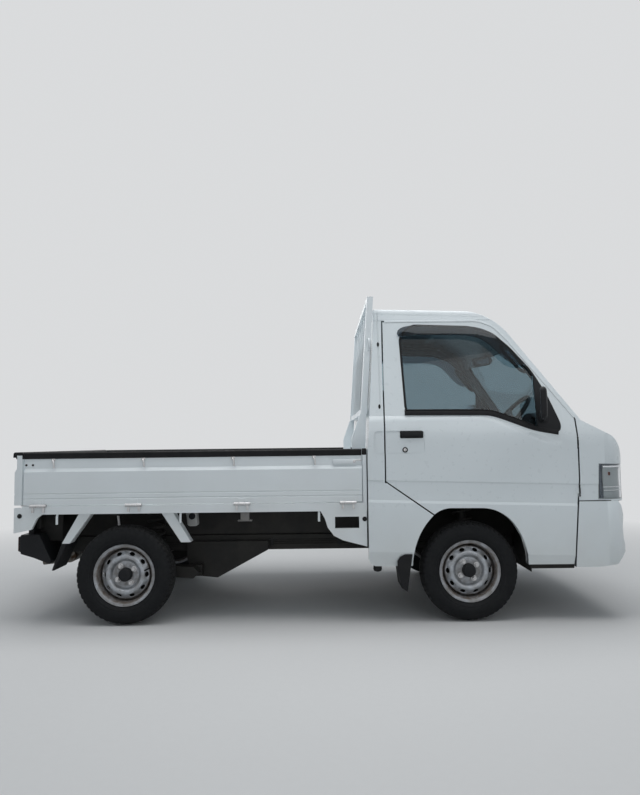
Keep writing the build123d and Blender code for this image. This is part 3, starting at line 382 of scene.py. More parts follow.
def zincFinish(name, look):
    finish, tree, shader = newFinish(name)
    place = placeOf(tree)
    spangle = addNode(tree, "ShaderNodeTexVoronoi")
    spangle.inputs["Scale"].default_value = 240.0
    tree.links.new(place, spangle.inputs["Vector"])
    tone = rampOf(tree, spangle.outputs["Distance"], 0.0, 0.8)
    base = mixOf(tree, tone, look["colour"], look["shade"])
    stain = rampOf(tree, noiseOf(tree, place, 60.0, 7.0), 0.62, 0.72, 0.0, look["stain"])
    join(tree, mixOf(tree, stain, base, (0.26, 0.14, 0.08)), shader, "Base Color")
    rough = rampOf(tree, noiseOf(tree, place, 120.0), 0.3, 0.7, look["rough"], look["rough"] + 0.2)
    join(tree, rough, shader, "Roughness")
    join(tree, bumpOf(tree, noiseOf(tree, place, 500.0), 0.0001), shader, "Normal")
    shader.inputs["Metallic"].default_value = 0.9
    return finish


zincSteel = zincFinish("zincSteel", {
    "colour": (0.66, 0.66, 0.66), "shade": (0.55, 0.55, 0.56), "stain": 0.35, "rough": 0.34,
})
mirrorChrome = zincFinish("mirrorChrome", {
    "colour": (0.86, 0.87, 0.88), "shade": (0.82, 0.83, 0.84), "stain": 0.0, "rough": 0.04,
})
# mirror glass dark and bluish instead of bright silvering: painted dim reflection
silveredGlass = zincFinish("silveredGlass", {
    "colour": (0.20, 0.23, 0.26), "shade": (0.17, 0.20, 0.23), "stain": 0.0, "rough": 0.03,
})


# silver wheel paint, browned in the well of the rim and round the hub


def wheelFinish(name, centre):
    finish, tree, shader = newFinish(name)
    place = placeOf(tree)
    radius = radiusFrom(tree, place, centre)
    ring = mathOf(tree, "MULTIPLY", rampOf(tree, radius, 0.124, 0.131), rampOf(tree, radius, 0.158, 0.150))
    well = mathOf(tree, "MAXIMUM", ring, mathOf(tree, "MULTIPLY", rampOf(tree, radius, 0.148, 0.156), 0.42))
    hub = rampOf(tree, radius, 0.080, 0.058, 0.0, 0.75)
    blotch = rampOf(tree, noiseOf(tree, place, 38.0, 7.0, 0.65), 0.38, 0.62)
    browned = mathOf(tree, "MAXIMUM", mathOf(tree, "MULTIPLY", well, rampOf(tree, blotch, 0, 1, 0.5, 1.0)),
                     mathOf(tree, "MULTIPLY", hub, rampOf(tree, blotch, 0, 1, 0.2, 0.8)))
    chips = rampOf(tree, noiseOf(tree, place, 75.0, 8.0, 0.7), 0.60, 0.66, 0.0, 0.75)
    worn = mathOf(tree, "MAXIMUM", browned, chips)
    silver = mixOf(
        tree, rampOf(tree, noiseOf(tree, place, 22.0, 6.0), 0.35, 0.65), (0.27, 0.275, 0.28),
        (0.46, 0.49, 0.53),
    )
    brown = mixOf(tree, noiseOf(tree, place, 90.0), (0.052, 0.040, 0.031), (0.165, 0.125, 0.095))
    join(tree, mixOf(tree, worn, silver, brown), shader, "Base Color")
    join(tree, rampOf(tree, worn, 0, 1, 0.36, 0.85), shader, "Roughness")
    join(tree, rampOf(tree, worn, 0, 1, 0.55, 0.0), shader, "Metallic")
    join(tree, bumpOf(tree, noiseOf(tree, place, 260.0, 6.0), 0.0003), shader, "Normal")
    return finish


# tyre rubber: grey bloom on the sidewall, dust pressed into the tread


def tyreFinish(name, centre):
    finish, tree, shader = newFinish(name)
    place = placeOf(tree)
    radius = radiusFrom(tree, place, centre)
    tread = rampOf(tree, radius, 0.250, 0.262, 0.10, 0.38)
    patch = rampOf(tree, noiseOf(tree, place, 20.0, 6.0), 0.3, 0.75, 0.3, 1.0)
    dust = mathOf(tree, "MULTIPLY", tread, patch)
    # rubber darker and bluer than bare rubber: partly its own black, partly painted shade
    join(tree, mixOf(tree, dust, (0.0065, 0.0075, 0.0090), (0.062, 0.060, 0.056)), shader, "Base Color")
    join(tree, rampOf(tree, noiseOf(tree, place, 70.0), 0.3, 0.7, 0.62, 0.80), shader, "Roughness")
    join(tree, bumpOf(tree, noiseOf(tree, place, 700.0, 3.0), 0.0003), shader, "Normal")
    shader.inputs["Specular IOR Level"].default_value = 0.18
    return finish


# glass and lamp covers


def glassFinish(name, look):
    finish, tree, shader = newFinish(name)
    place = placeOf(tree)
    tint = mixOf(tree, noiseOf(tree, place, 3.0), look["colour"], look["shade"])
    join(tree, tint, shader, "Base Color")
    hazy = look["rough"] + look["haze"]
    rough = rampOf(tree, noiseOf(tree, place, 26.0, 5.0), 0.4, 0.8, look["rough"], hazy)
    join(tree, rough, shader, "Roughness")
    shader.inputs["Transmission Weight"].default_value = 1.0
    shader.inputs["IOR"].default_value = look["ior"]
    if look["ripple"]:
        wave = addNode(tree, "ShaderNodeTexWave", wave_type="BANDS", bands_direction="Y")
        wave.inputs["Scale"].default_value = look["ripple"]
        tree.links.new(place, wave.inputs["Vector"])
        join(tree, bumpOf(tree, wave.outputs["Fac"], 0.0006), shader, "Normal")
    return finish


# glass tint dark and blue: partly its own tint, partly painted shade of the cab's inside
cabGlass = glassFinish("cabGlass", {
    "colour": (0.355, 0.455, 0.495), "shade": (0.33, 0.425, 0.465), "rough": 0.0, "ior": 1.45,
    "haze": 0.004, "ripple": 0,
})
# smoke tint with a blue cast: the smoke is its own, the blue is painted sky reflection
visorSmoke = glassFinish("visorSmoke", {
    "colour": (0.15, 0.205, 0.245), "shade": (0.12, 0.17, 0.21), "rough": 0.02, "ior": 1.30, "haze": 0.03,
    "ripple": 0,
})
lampClear = glassFinish("lampClear", {
    "colour": (0.93, 0.94, 0.95), "shade": (0.88, 0.90, 0.92), "rough": 0.03, "ior": 1.25, "haze": 0.03,
    "ripple": 0,
})
bulbAmber = glassFinish("bulbAmber", {
    "colour": (0.46, 0.11, 0.05), "shade": (0.40, 0.09, 0.04), "rough": 0.10, "ior": 1.3, "haze": 0.03,
    "ripple": 0,
})
lampRed = glassFinish("lampRed", {
    "colour": (0.60, 0.02, 0.02), "shade": (0.50, 0.015, 0.015), "rough": 0.08, "ior": 1.3, "haze": 0.03,
    "ripple": 26.0,
})
lampAmber = glassFinish("lampAmber", {
    "colour": (0.90, 0.30, 0.03), "shade": (0.80, 0.24, 0.02), "rough": 0.08, "ior": 1.3, "haze": 0.03,
    "ripple": 26.0,
})


# woven seat cloth and webbing: crossing bands seen from object space, on all three planes


def clothFinish(name, look):
    finish, tree, shader = newFinish(name)
    place = placeOf(tree)
    bands = []
    for direction in ("X", "Y", "Z"):
        wave = addNode(tree, "ShaderNodeTexWave", wave_type="BANDS", bands_direction=direction)
        wave.inputs["Scale"].default_value = look["threads"]
        wave.inputs["Distortion"].default_value = 1.2
        wave.inputs["Detail"].default_value = 1.0
        tree.links.new(place, wave.inputs["Vector"])
        bands.append(wave.outputs["Fac"])
    weave = mathOf(
        tree, "MULTIPLY", mathOf(tree, "MAXIMUM", bands[0], bands[1]),
        mathOf(tree, "MAXIMUM", bands[1], bands[2]),
    )
    worn = rampOf(tree, noiseOf(tree, place, 11.0, 6.0), 0.35, 0.7)
    tone = mixOf(tree, weave, look["gap"], look["colour"])
    join(tree, mixOf(tree, mathOf(tree, "MULTIPLY", worn, 0.4), tone, look["worn"]), shader, "Base Color")
    shader.inputs["Roughness"].default_value = 0.9
    shader.inputs["Sheen Weight"].default_value = look["sheen"]
    shader.inputs["Sheen Roughness"].default_value = 0.4
    join(tree, bumpOf(tree, weave, 0.0007), shader, "Normal")
    return finish


seatCloth = clothFinish("seatCloth", {
    "colour": (0.13, 0.135, 0.15), "gap": (0.055, 0.056, 0.062), "worn": (0.19, 0.19, 0.20), "threads": 300.0,
    "sheen": 0.25,
})
beltWeb = clothFinish("beltWeb", {
    "colour": (0.035, 0.035, 0.037), "gap": (0.015, 0.015, 0.016), "worn": (0.06, 0.06, 0.06),
    "threads": 420.0, "sheen": 0.1,
})
print("finishes ready")

# mesh helpers: every form is a bmesh, and addPiece joins several into one piece


def addPiece(name, forms, finish, body, slotName, sharp=35.0):
    whole = bmesh.new()
    for form in forms:
        spare = bpy.data.meshes.new("spare")
        form.to_mesh(spare)
        form.free()
        whole.from_mesh(spare)
        bpy.data.meshes.remove(spare)
    limit = math.radians(sharp)
    for face in whole.faces:
        face.smooth = True
    for edge in whole.edges:
        edge.smooth = not (len(edge.link_faces) == 2 and edge.calc_face_angle(0.0) > limit)
    mesh = bpy.data.meshes.new(name)
    whole.to_mesh(mesh)
    whole.free()
    mesh.materials.append(finish)
    piece = bpy.data.objects.new(name, mesh)
    scene.collection.objects.link(piece)
    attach(piece, body)
    return piece


def sweepForm(path, outs, section, closed=False):
    # carries a flat section along a line; section pairs are (across the run, out from the panel),
    # and outs is one direction for each point or one for the whole line
    if isinstance(outs, Vector):
        outs = [outs] * len(path)
    form = bmesh.new()
    count = len(path)
    rings = []
    for i, (point, out) in enumerate(zip(path, outs)):
        ahead = path[(i + 1) % count] if closed or i < count - 1 else point
        behind = path[i - 1] if closed or i > 0 else point
        along = (ahead - behind).normalized()
        away = (out - along * out.dot(along)).normalized()
        side = along.cross(away)
        rings.append([form.verts.new(point + side * u + away * v) for u, v in section])
    steps = len(section)
    for i in range(count if closed else count - 1):
        here, there = rings[i], rings[(i + 1) % count]
        for j in range(steps):
            form.faces.new((here[j], here[(j + 1) % steps], there[(j + 1) % steps], there[j]))
    if not closed:
        form.faces.new(rings[0])
        form.faces.new(rings[-1])
    bmesh.ops.recalc_face_normals(form, faces=form.faces)
    return form


def barForm(start, end, out, section):
    # straight strip between two points
    return sweepForm([start, start.lerp(end, 0.5), end], out, section)


def ovalOutline(across, tall, steps):
    turns = [2 * math.pi * i / steps for i in range(steps)]
    return [(across * math.cos(turn), tall * math.sin(turn)) for turn in turns]


def roundSection(radius, steps=10):
    return ovalOutline(radius, radius, steps)


def boxSection(width, height, corner, base=0.0):
    # rounded strip section that starts at base and stands height proud
    half = width / 2
    return [
        (-half, base), (-half, base + height - corner), (-half + corner * 0.3, base + height - corner * 0.3),
        (-half + corner, base + height), (half - corner, base + height),
        (half - corner * 0.3, base + height - corner * 0.3), (half, base + height - corner), (half, base),
    ]


def tubeForm(points, radius, steps=10):
    path = [Vector(p) for p in points]
    side = Vector((0.31, 0.17, 0.93)).normalized()
    return sweepForm(path, side, roundSection(radius, steps))


def softened(points, radius, steps=4, closed=False):
    # the same line with its corners rounded
    line = []
    count = len(points)
    for i, point in enumerate(points):
        point = Vector(point)
        if not closed and i in (0, count - 1):
            line.append(point)
            continue
        before, after = Vector(points[i - 1]) - point, Vector(points[(i + 1) % count]) - point
        start = point + before.normalized() * min(radius, before.length * 0.45)
        end = point + after.normalized() * min(radius, after.length * 0.45)
        for s in range(steps + 1):
            t = s / steps
            line.append(start * (1 - t) ** 2 + point * 2 * t * (1 - t) + end * t * t)
    return line


def softSide(points, radius, steps, closed=False):
    # a line of (x, z) pairs with its corners rounded
    return softened([Vector((x, 0, z)) for x, z in points], radius, steps, closed)


def skinRings(form, rings):
    # faces between closed rings of one length
    for here, there in zip(rings, rings[1:]):
        count = len(here)
        for i in range(count):
            form.faces.new((here[i], here[(i + 1) % count], there[(i + 1) % count], there[i]))


def skinRows(form, rows):
    # faces between open rows of one length
    for here, there in zip(rows, rows[1:]):
        for i in range(len(here) - 1):
            form.faces.new((here[i], here[i + 1], there[i + 1], there[i]))


def plateForm(outline, place, depth, bevel=0.0, segments=2):
    # flat outline of (u, v) pairs given depth; place turns u, v and depth into a point
    form = bmesh.new()
    near = [form.verts.new(place(u, v, 0.0)) for u, v in outline]
    far = [form.verts.new(place(u, v, depth)) for u, v in outline]
    count = len(outline)
    form.faces.new(near)
    form.faces.new(far)
    for i in range(count):
        form.faces.new((near[i], near[(i + 1) % count], far[(i + 1) % count], far[i]))
    bmesh.ops.recalc_face_normals(form, faces=form.faces)
    if bevel:
        rim = [e for e in form.edges if e.calc_face_angle(0.0) > math.radians(25)]
        bmesh.ops.bevel(
            form, geom=rim, offset=bevel, segments=segments, profile=0.5, affect="EDGES", clamp_overlap=True
        )
    return form


def blockForm(low, high, bevel=0.003, segments=2):
    outline = [(low[0], low[1]), (high[0], low[1]), (high[0], high[1]), (low[0], high[1])]
    return plateForm(outline, lambda u, v, w: Vector((u, v, low[2] + w)), high[2] - low[2], bevel, segments)


def lathedForm(profile, centre, axis, steps=32):
    # profile pairs are (along the axis, radius)
    axis = Vector(axis).normalized()
    across = axis.orthogonal().normalized()
    third = axis.cross(across)
    form = bmesh.new()
    rings = []
    for along, radius in profile:
        middle = Vector(centre) + axis * along
        if radius < 1e-6:
            rings.append([form.verts.new(middle)])
            continue
        ring = []
        for i in range(steps):
            turn = 2 * math.pi * i / steps
            ring.append(form.verts.new(middle + (across * math.cos(turn) + third * math.sin(turn)) * radius))
        rings.append(ring)
    for here, there in zip(rings, rings[1:]):
        for i in range(steps):
            a, b = here[i % len(here)], here[(i + 1) % len(here)]
            c, d = there[(i + 1) % len(there)], there[i % len(there)]
            corners = [a, b, c, d]
            distinct = [v for k, v in enumerate(corners) if v not in corners[:k]]
            if len(distinct) > 2:
                form.faces.new(distinct)
    bmesh.ops.recalc_face_normals(form, faces=form.faces)
    return form


def mirrored(form):
    for vert in form.verts:
        vert.co.y = -vert.co.y
    bmesh.ops.reverse_faces(form, faces=form.faces)
    return form


def roundedOutline(width, height, corner, steps=5):
    # closed outline of a rounded rectangle round the origin
    outline = []
    for cx, cy, start in ((1, 1, 0), (-1, 1, 90), (-1, -1, 180), (1, -1, 270)):
        for s in range(steps + 1):
            turn = math.radians(start + 90 * s / steps)
            outline.append((
                cx * (width / 2 - corner) + corner * math.cos(turn),
                cy * (height / 2 - corner) + corner * math.sin(turn),
            ))
    return outline


def domedForm(look, place, steps, corner, shrink):
    # closed housing; steps are (depth, inset), and the corners tighten as the inset grows
    form = bmesh.new()
    rings = []
    for w, inset in steps:
        width, height = look["width"] - 2 * inset, look["height"] - 2 * inset
        outline = roundedOutline(width, height, max(0.004, corner - inset * shrink), 6)
        rings.append([form.verts.new(place(u, v, w)) for u, v in outline])
    skinRings(form, rings)
    form.faces.new(rings[0])
    form.faces.new(rings[-1])
    bmesh.ops.recalc_face_normals(form, faces=form.faces)
    return form


def addPair(name, forms, finish, body, slotName):
    # the piece on the right and its mirror image on the left; any body but the truck takes the side's name
    copies = [mirrored(form.copy()) for form in forms]
    pair = []
    for side, group in (("right", forms), ("left", copies)):
        carrier = body if body == "truck" else f"{body}_{side}"
        pair.append(addPiece(f"{name}_{side}", group, finish, carrier, slotName))
    return pair


def addAll(pieces):
    # pieces of the truck's own body
    for name, (forms, finish, slotName) in pieces.items():
        addPiece(name, forms, finish, "truck", slotName)


def hexNut(centre, axis, radius, height, hole=0.4):
    # chamfered six-sided nut with its stud
    axis = Vector(axis).normalized()
    profile = [(0, radius * 1.25), (height * 0.16, radius * 1.25), (height * 0.18, radius * 1.02)]
    washer = lathedForm([(0, 0), *profile, (height * 0.18, 0)], centre, axis, 18)
    nut = lathedForm([
        (height * 0.18, 0), (height * 0.18, radius), (height * 0.85, radius), (height, radius * 0.8),
        (height, 0),
    ], centre, axis, 6)
    stud = lathedForm(
        [(height, 0), (height, radius * hole), (height * 1.3, radius * hole * 0.85), (height * 1.3, 0)],
        centre, axis, 12,
    )
    return [washer, nut, stud]


# studio: pale floor that fades to the white surround, soft lamps above and at the camera's side

studio = {
    "floorHalf": 14.0,
    "floorColour": (0.62, 0.62, 0.62),
    "backColour": (0.70, 0.71, 0.72),
    "fadeFrom": 2.6,
    "fadeTo": 5.2,
    "ambient": 0.34,
    "ambientColour": (0.84, 0.93, 1.0),
    "lamps": {
        "above": {"place": (0.2, -0.6, 4.6), "aim": (0.1, 0.0, 0.6), "size": (5.5, 3.6), "power": 165},
        "cameraSide": {"place": (1.8, -5.6, 2.8), "aim": (0.0, 0.0, 0.8), "size": (4.5, 2.6), "power": 24},
        "behind": {"place": (-2.0, 5.2, 3.0), "aim": (0.0, 0.0, 0.8), "size": (4.0, 2.4), "power": 45},
    },
}


def seenDirectly(tree):
    # camera, mirror and glass rays see the white surround
    path = addNode(tree, "ShaderNodeLightPath")
    pair = mathOf(tree, "MAXIMUM", path.outputs["Is Camera Ray"], path.outputs["Is Glossy Ray"])
    return mathOf(tree, "MAXIMUM", pair, path.outputs["Is Transmission Ray"])


def buildStudio(look):
    world = bpy.data.worlds.new("studioWorld")
    scene.world = world
    world.use_nodes = True
    tree = world.node_tree
    soft = tree.nodes["Background"]
    soft.inputs["Color"].default_value = (*look["ambientColour"], 1)
    soft.inputs["Strength"].default_value = look["ambient"]
    white = addNode(tree, "ShaderNodeBackground")
    white.inputs["Color"].default_value = (*look["backColour"], 1)
    white.inputs["Strength"].default_value = 1.0
    choose = addNode(tree, "ShaderNodeMixShader")
    tree.links.new(seenDirectly(tree), choose.inputs[0])
    tree.links.new(soft.outputs[0], choose.inputs[1])
    tree.links.new(white.outputs[0], choose.inputs[2])
    tree.links.new(choose.outputs[0], tree.nodes["World Output"].inputs["Surface"])

    finish, tree, shader = newFinish("studioFloor")
    place = placeOf(tree)
    join(tree,
         mixOf(
             tree, noiseOf(tree, place, 30.0), look["floorColour"],
             tuple(c * 0.97 for c in look["floorColour"]),
         ),
         shader, "Base Color")
    shader.inputs["Roughness"].default_value = 0.85
    glow = addNode(tree, "ShaderNodeEmission")
    glow.inputs["Color"].default_value = (*look["backColour"], 1)
    reach = addNode(tree, "ShaderNodeVectorMath", operation="LENGTH")
    tree.links.new(place, reach.inputs[0])
    fade = rampOf(tree, reach.outputs["Value"], look["fadeFrom"], look["fadeTo"])
    share = mathOf(tree, "MULTIPLY", fade, seenDirectly(tree))
    choose = addNode(tree, "ShaderNodeMixShader")
    tree.links.new(share, choose.inputs[0])
    tree.links.new(shader.outputs[0], choose.inputs[1])
    tree.links.new(glow.outputs[0], choose.inputs[2])
    tree.links.new(choose.outputs[0], tree.nodes["Material Output"].inputs["Surface"])
    half = look["floorHalf"]
    sheet = bmesh.new()
    bmesh.ops.create_grid(sheet, x_segments=8, y_segments=8, size=half)
    mesh = bpy.data.meshes.new("studioFloor")
    sheet.to_mesh(mesh)
    sheet.free()
    mesh.materials.append(finish)
    floor = bpy.data.objects.new("studioFloor", mesh)
    scene.collection.objects.link(floor)
    for name, lamp in look["lamps"].items():
        data = bpy.data.lights.new(name, "AREA")
        data.shape = "RECTANGLE"
        data.size, data.size_y = lamp["size"]
        data.energy = lamp["power"]
        light = bpy.data.objects.new(name, data)
        place = Vector(lamp["place"])
        aim = (Vector(lamp["aim"]) - place).to_track_quat("-Z", "Y")
        light.matrix_world = Matrix.Translation(place) @ aim.to_matrix().to_4x4()
        scene.collection.objects.link(light)


buildStudio(studio)
print("studio ready")

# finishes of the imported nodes

wheelHeight = 0.268
axleCentres = {"front": (0.803, 0.0, wheelHeight), "rear": (-1.082, 0.0, wheelHeight)}
nodeFinishes = {
    "door_right": bodyWhite, "door_left": bodyWhite, "cab_rear_panel": bodyWhite, "roof_panel": bodyWhite,
    "windscreen_frame": bodyWhite, "nose_panel": bodyWhite, "front_bumper": bodyWhite, "cab_floor": underCoat,
    "bed_floor": bedWhite, "guard_frame": bedWhite, "side_gate_right": bedWhite, "side_gate_left": bedWhite,
    "tail_gate": bedWhite, "mudguard_stays": bedWhite,
    "side_gate_cap_right": blackRubber, "side_gate_cap_left": blackRubber, "tail_gate_cap": blackRubber,
    "front_flaps": blackRubber, "rear_flaps": blackRubber,
    "mirror_right": blackPlastic, "mirror_left": blackPlastic, "interior_mirror": blackPlastic,
    "steering_wheel": blackPlastic, "steering_column": cabinGrey, "dashboard": cabinGrey,
    "seat_cushions": seatCloth, "seat_backs": seatCloth,
    "door_glass_right": cabGlass, "door_glass_left": cabGlass, "windscreen": cabGlass,
    "rear_window": cabGlass,
    "headlamps": lampClear, "headlamp_housings": lampGrey, "tail_lamps": blackPlastic,
    "chassis_frame": chassisBlack, "front_arms": chassisBlack, "rear_arms": chassisBlack,
    "front_knuckle_right": chassisBlack, "front_knuckle_left": chassisBlack,
    "engine": engineMetal, "silencer": pipeSteel, "fuel_tank": chassisBlack, "gate_hinges": zincSteel,
}
for axle, centre in axleCentres.items():
    rimFinish = wheelFinish(f"wheelSilver{axle.title()}", centre)
    rubber = tyreFinish(f"tyreRubber{axle.title()}", centre)
    for side in ("right", "left"):
        nodeFinishes[f"rim_{axle}_{side}"] = rimFinish
        nodeFinishes[f"tyre_{axle}_{side}"] = rubber

for nodeName, finish in nodeFinishes.items():
    mesh = nodes[nodeName].data
    mesh.materials.clear()
    mesh.materials.append(finish)

# pressed edges: flat facets joined again, then every sharp edge rounded a little
edgeRadii = {
    "door_right": 0.004, "door_left": 0.004, "cab_rear_panel": 0.006, "roof_panel": 0.004,
    "windscreen_frame": 0.006,
    "nose_panel": 0.004, "front_bumper": 0.010, "bed_floor": 0.0025, "guard_frame": 0.003,
    "side_gate_right": 0.003,
    "side_gate_left": 0.003, "tail_gate": 0.003, "mudguard_stays": 0.003, "side_gate_cap_right": 0.002,
    "side_gate_cap_left": 0.002, "tail_gate_cap": 0.002, "chassis_frame": 0.006, "engine": 0.012,
    "tail_lamps": 0.008,
    "fuel_tank": 0.004, "dashboard": 0.014, "rear_arms": 0.006, "front_arms": 0.004, "interior_mirror": 0.006,
    "headlamp_housings": 0.001, "front_flaps": 0.0015, "rear_flaps": 0.002,
}
for nodeName, radius in edgeRadii.items():
    piece = nodes[nodeName]
    weld = piece.modifiers.new("joinFacets", "WELD")
    weld.merge_threshold = 0.00004
    flat = piece.modifiers.new("flatAreas", "DECIMATE")
    flat.decimate_type = "DISSOLVE"
    flat.angle_limit = math.radians(0.6)
    edge = piece.modifiers.new("softEdges", "BEVEL")
    edge.width = radius
    edge.segments = 2
    edge.limit_method = "ANGLE"
    edge.angle_limit = math.radians(28)
    edge.use_clamp_overlap = True
    edge.harden_normals = True
print("packed nodes finished")

# tyres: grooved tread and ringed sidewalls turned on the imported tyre's size

tyreForm = {
    "track": 0.642,
    "pitches": 52,
    "grooveDepth": 0.0065,
    # half section from the tread's middle to the bead: (out from the middle, radius, tread band)
    "half": [
        (0.0000, 0.2675, "rib"), (0.0085, 0.2673, "rib"), (0.0092, 0.2610, "groove"),
        (0.0128, 0.2608, "groove"), (0.0135, 0.2669, "mid"), (0.0235, 0.2660, "mid"), (0.0335, 0.2645, "mid"),
        (0.0342, 0.2588, "groove"), (0.0378, 0.2582, "groove"), (0.0385, 0.2635, "shoulder"),
        (0.0480, 0.2612, "shoulder"), (0.0560, 0.2585, "shoulder"), (0.0612, 0.2548, "shoulder"),
        (0.0640, 0.2500, "edge"), (0.0660, 0.2440, "edge"), (0.0672, 0.2420, "wall"),
        (0.0690, 0.2330, "wall"), (0.0697, 0.2322, "wall"), (0.0697, 0.2300, "wall"),
        (0.0700, 0.2292, "wall"), (0.0708, 0.2200, "wall"), (0.0712, 0.2080, "wall"),
        (0.0700, 0.1960, "wall"), (0.0694, 0.1950, "wall"), (0.0682, 0.1900, "wall"),
        (0.0686, 0.1885, "wall"), (0.0684, 0.1865, "wall"), (0.0668, 0.1850, "wall"),
        (0.0630, 0.1770, "wall"), (0.0580, 0.1710, "wall"), (0.0520, 0.1688, "wall"),
        (0.0512, 0.1600, "wall"), (0.0512, 0.1530, "wall"),
    ],
}


def tyreMesh(look, x, y):
    form = bmesh.new()
    half = look["half"]
    section = [(-out, radius, band) for out, radius, band in reversed(half[1:])] + list(half)
    cuts = [0.0, 0.07, 0.10, 0.50, 0.53, 0.60, 0.63]
    depth = look["grooveDepth"]
    rings = []
    for pitch in range(look["pitches"]):
        for cut in cuts:
            turn = 2 * math.pi * (pitch + cut) / look["pitches"]
            ring = []
            for out, radius, band in section:
                drop = 0.0
                skew = 0.0
                if band == "shoulder":
                    drop = depth * 0.85 if cut < 0.09 else 0.0
                    skew = 0.25 * abs(out) / 0.06
                elif band == "mid":
                    drop = depth * 0.6 if 0.5 < cut < 0.62 else 0.0
                elif band == "edge":
                    drop = 0.0028 if cut < 0.09 else 0.0
                angle = turn + skew * 2 * math.pi / look["pitches"] * (1 if out > 0 else -1)
                r = radius - drop
                ring.append(
                    form.verts.new((x + r * math.sin(angle), y + out, wheelHeight + r * math.cos(angle)))
                )
            rings.append(ring)
    skinRows(form, rings + rings[:1])
    bmesh.ops.recalc_face_normals(form, faces=form.faces)
    return form


wheelTrim = {
    "nutRing": 0.0525,
    "nutRadius": 0.0122,
    "nutHeight": 0.019,
    "face": 0.020,       # wheel disc's outer face, out from the wheel's middle
    "capRadius": 0.0355,
    "shieldRadius": 0.139,
    "drumRadius": 0.104,
}


def wheelDetails(look, x, y, out):
    # out is -1 on the right side and 1 on the left
    axis = (0, out, 0)
    nuts = []
    for i in range(4):
        turn = math.radians(33 + 90 * i)
        centre = (
            x + look["nutRing"] * math.cos(turn), y + out * look["face"],
            wheelHeight + look["nutRing"] * math.sin(turn),
        )
        nuts += hexNut(centre, axis, look["nutRadius"], look["nutHeight"])
    lip = [(0.0555, 0.1675), (0.0575, 0.1668), (0.0580, 0.1640), (0.0565, 0.1618), (0.0540, 0.1610)]
    ring = [(0.0480, 0.1672), *lip, (0.0480, 0.1610)]
    return nuts, [lathedForm(ring + [ring[0]], (x, y, wheelHeight), axis, 72)]


discForm = {
    "holes": 10,
    "holeRadius": 0.1165,    # distance of the hand holes from the wheel's middle
    "holeHalf": (0.0150, 0.0088),
    "band": (0.1055, 0.1275),
    "thick": 0.0030,
    "inside": [(0.0200, 0.0300), (0.0200, 0.0620), (0.0185, 0.0660), (0.0180, 0.0710), (0.0205, 0.0745),
               (0.0265, 0.0785),
               (0.0330, 0.0835), (0.0368, 0.0890), (0.0378, 0.0945), (0.0370, 0.1000)],
    "outside": [(0.0185, 0.1310), (0.0110, 0.1335), (-0.0060, 0.1350), (-0.0160, 0.1385), (-0.0180, 0.1475)],
    "barrel": [(-0.056, 0.167), (-0.051, 0.167), (-0.051, 0.1528), (-0.036, 0.1528), (-0.030, 0.1505),
               (0.022, 0.1505), (0.028, 0.1528),
               (0.051, 0.1528), (0.051, 0.167), (0.056, 0.167), (0.056, 0.1600), (0.0530, 0.1535),
               (0.048, 0.1480), (0.030, 0.1475),
               (0.024, 0.1450), (-0.030, 0.1450), (-0.038, 0.1480), (-0.056, 0.1480)],
}


def discRise(look, radius):
    # outer face of the disc between its crown and its outer bend
    low, high = look["band"]
    share = (radius - low) / (high - low)
    return 0.0355 - 0.0135 * share - 0.0020 * share * share


def discSheet(look, place):
    # one skin of the disc, with rolled-in hand holes
    form = bmesh.new()
    count, steps = look["holes"], 8
    low, high = look["band"]
    middle = look["holeRadius"]
    square = [(-1 + 0.25 * k, 1) for k in range(8)] + [(1, 1 - 0.5 * k) for k in range(4)]
    square += [(1 - 0.25 * k, -1) for k in range(8)] + [(-1, -1 + 0.5 * k) for k in range(4)]
    for sector in range(count):
        mid = 2 * math.pi * sector / count
        rings = [[], [], [], []]
        for u, v in square:
            radius = middle + v * (high - middle) if v > 0 else middle + v * (middle - low)
            outer = (radius, mid + u * math.pi / count)
            angle = math.atan2(v, u)
            along, across = look["holeHalf"][0] * math.cos(angle), look["holeHalf"][1] * math.sin(angle)
            hole = (middle + across, mid + along / middle)
            near = (middle + across * 1.22, mid + along * 1.16 / middle)
            for ring, (r, a), drop in zip(rings, (outer, near, hole, hole), (0.0, 0.0006, 0.0022, 0.0052)):
                ring.append(form.verts.new(place(r, a, discRise(look, r) - drop)))
        skinRings(form, rings)
    turns = [2 * math.pi * (i + 0.5 * steps) / (count * steps) for i in range(count * steps)]
    inside = look["inside"] + [(discRise(look, low), low)]
    outside = [(discRise(look, high), high)] + look["outside"]
    for lines in (inside, outside):
        skinRings(
            form, [[form.verts.new(place(radius, turn, along)) for turn in turns] for along, radius in lines]
        )
    bmesh.ops.remove_doubles(form, verts=form.verts, dist=0.00002)
    bmesh.ops.recalc_face_normals(form, faces=form.faces)
    return form


def pressedWheel(look, x, y, out):
    # disc with its crown and hand holes, rolled barrel and hub
    def place(radius, angle, along):
        return Vector((x + radius * math.cos(angle), y + out * along, wheelHeight + radius * math.sin(angle)))

    disc = discSheet(look, place)
    seen = next(face for face in disc.faces if abs(face.normal.y) > 0.9)
    thick = look["thick"] if seen.normal.y * out > 0 else -look["thick"]
    bmesh.ops.solidify(disc, geom=list(disc.faces), thickness=thick)
    bmesh.ops.recalc_face_normals(disc, faces=disc.faces)
    barrel = lathedForm(look["barrel"] + [look["barrel"][0]], (x, y, wheelHeight), (0, out, 0), 80)
    hub = lathedForm([
        (-0.050, 0.016), (-0.050, 0.058), (0.014, 0.060), (0.017, 0.057), (0.017, 0.0315), (0.046, 0.0315),
        (0.046, 0.016), (-0.050, 0.016),
    ], (x, y, wheelHeight), (0, out, 0), 40)
    return [disc, barrel, hub]


def hubCap(look, x, y, out):
    r = look["capRadius"]
    base = look["face"] + 0.0005
    top = 0.0475
    profile = [
        (base, r - 0.002), (base, r + 0.0015), (base + 0.004, r + 0.0015), (base + 0.005, r),
        (top, r - 0.001), (top + 0.0035, r - 0.004), (top + 0.005, r - 0.010), (top + 0.005, 0.013),
        (top + 0.0062, 0.012), (top + 0.0062, 0),
    ]
    return [lathedForm(profile, (x, y, wheelHeight), (0, out, 0), 40)]


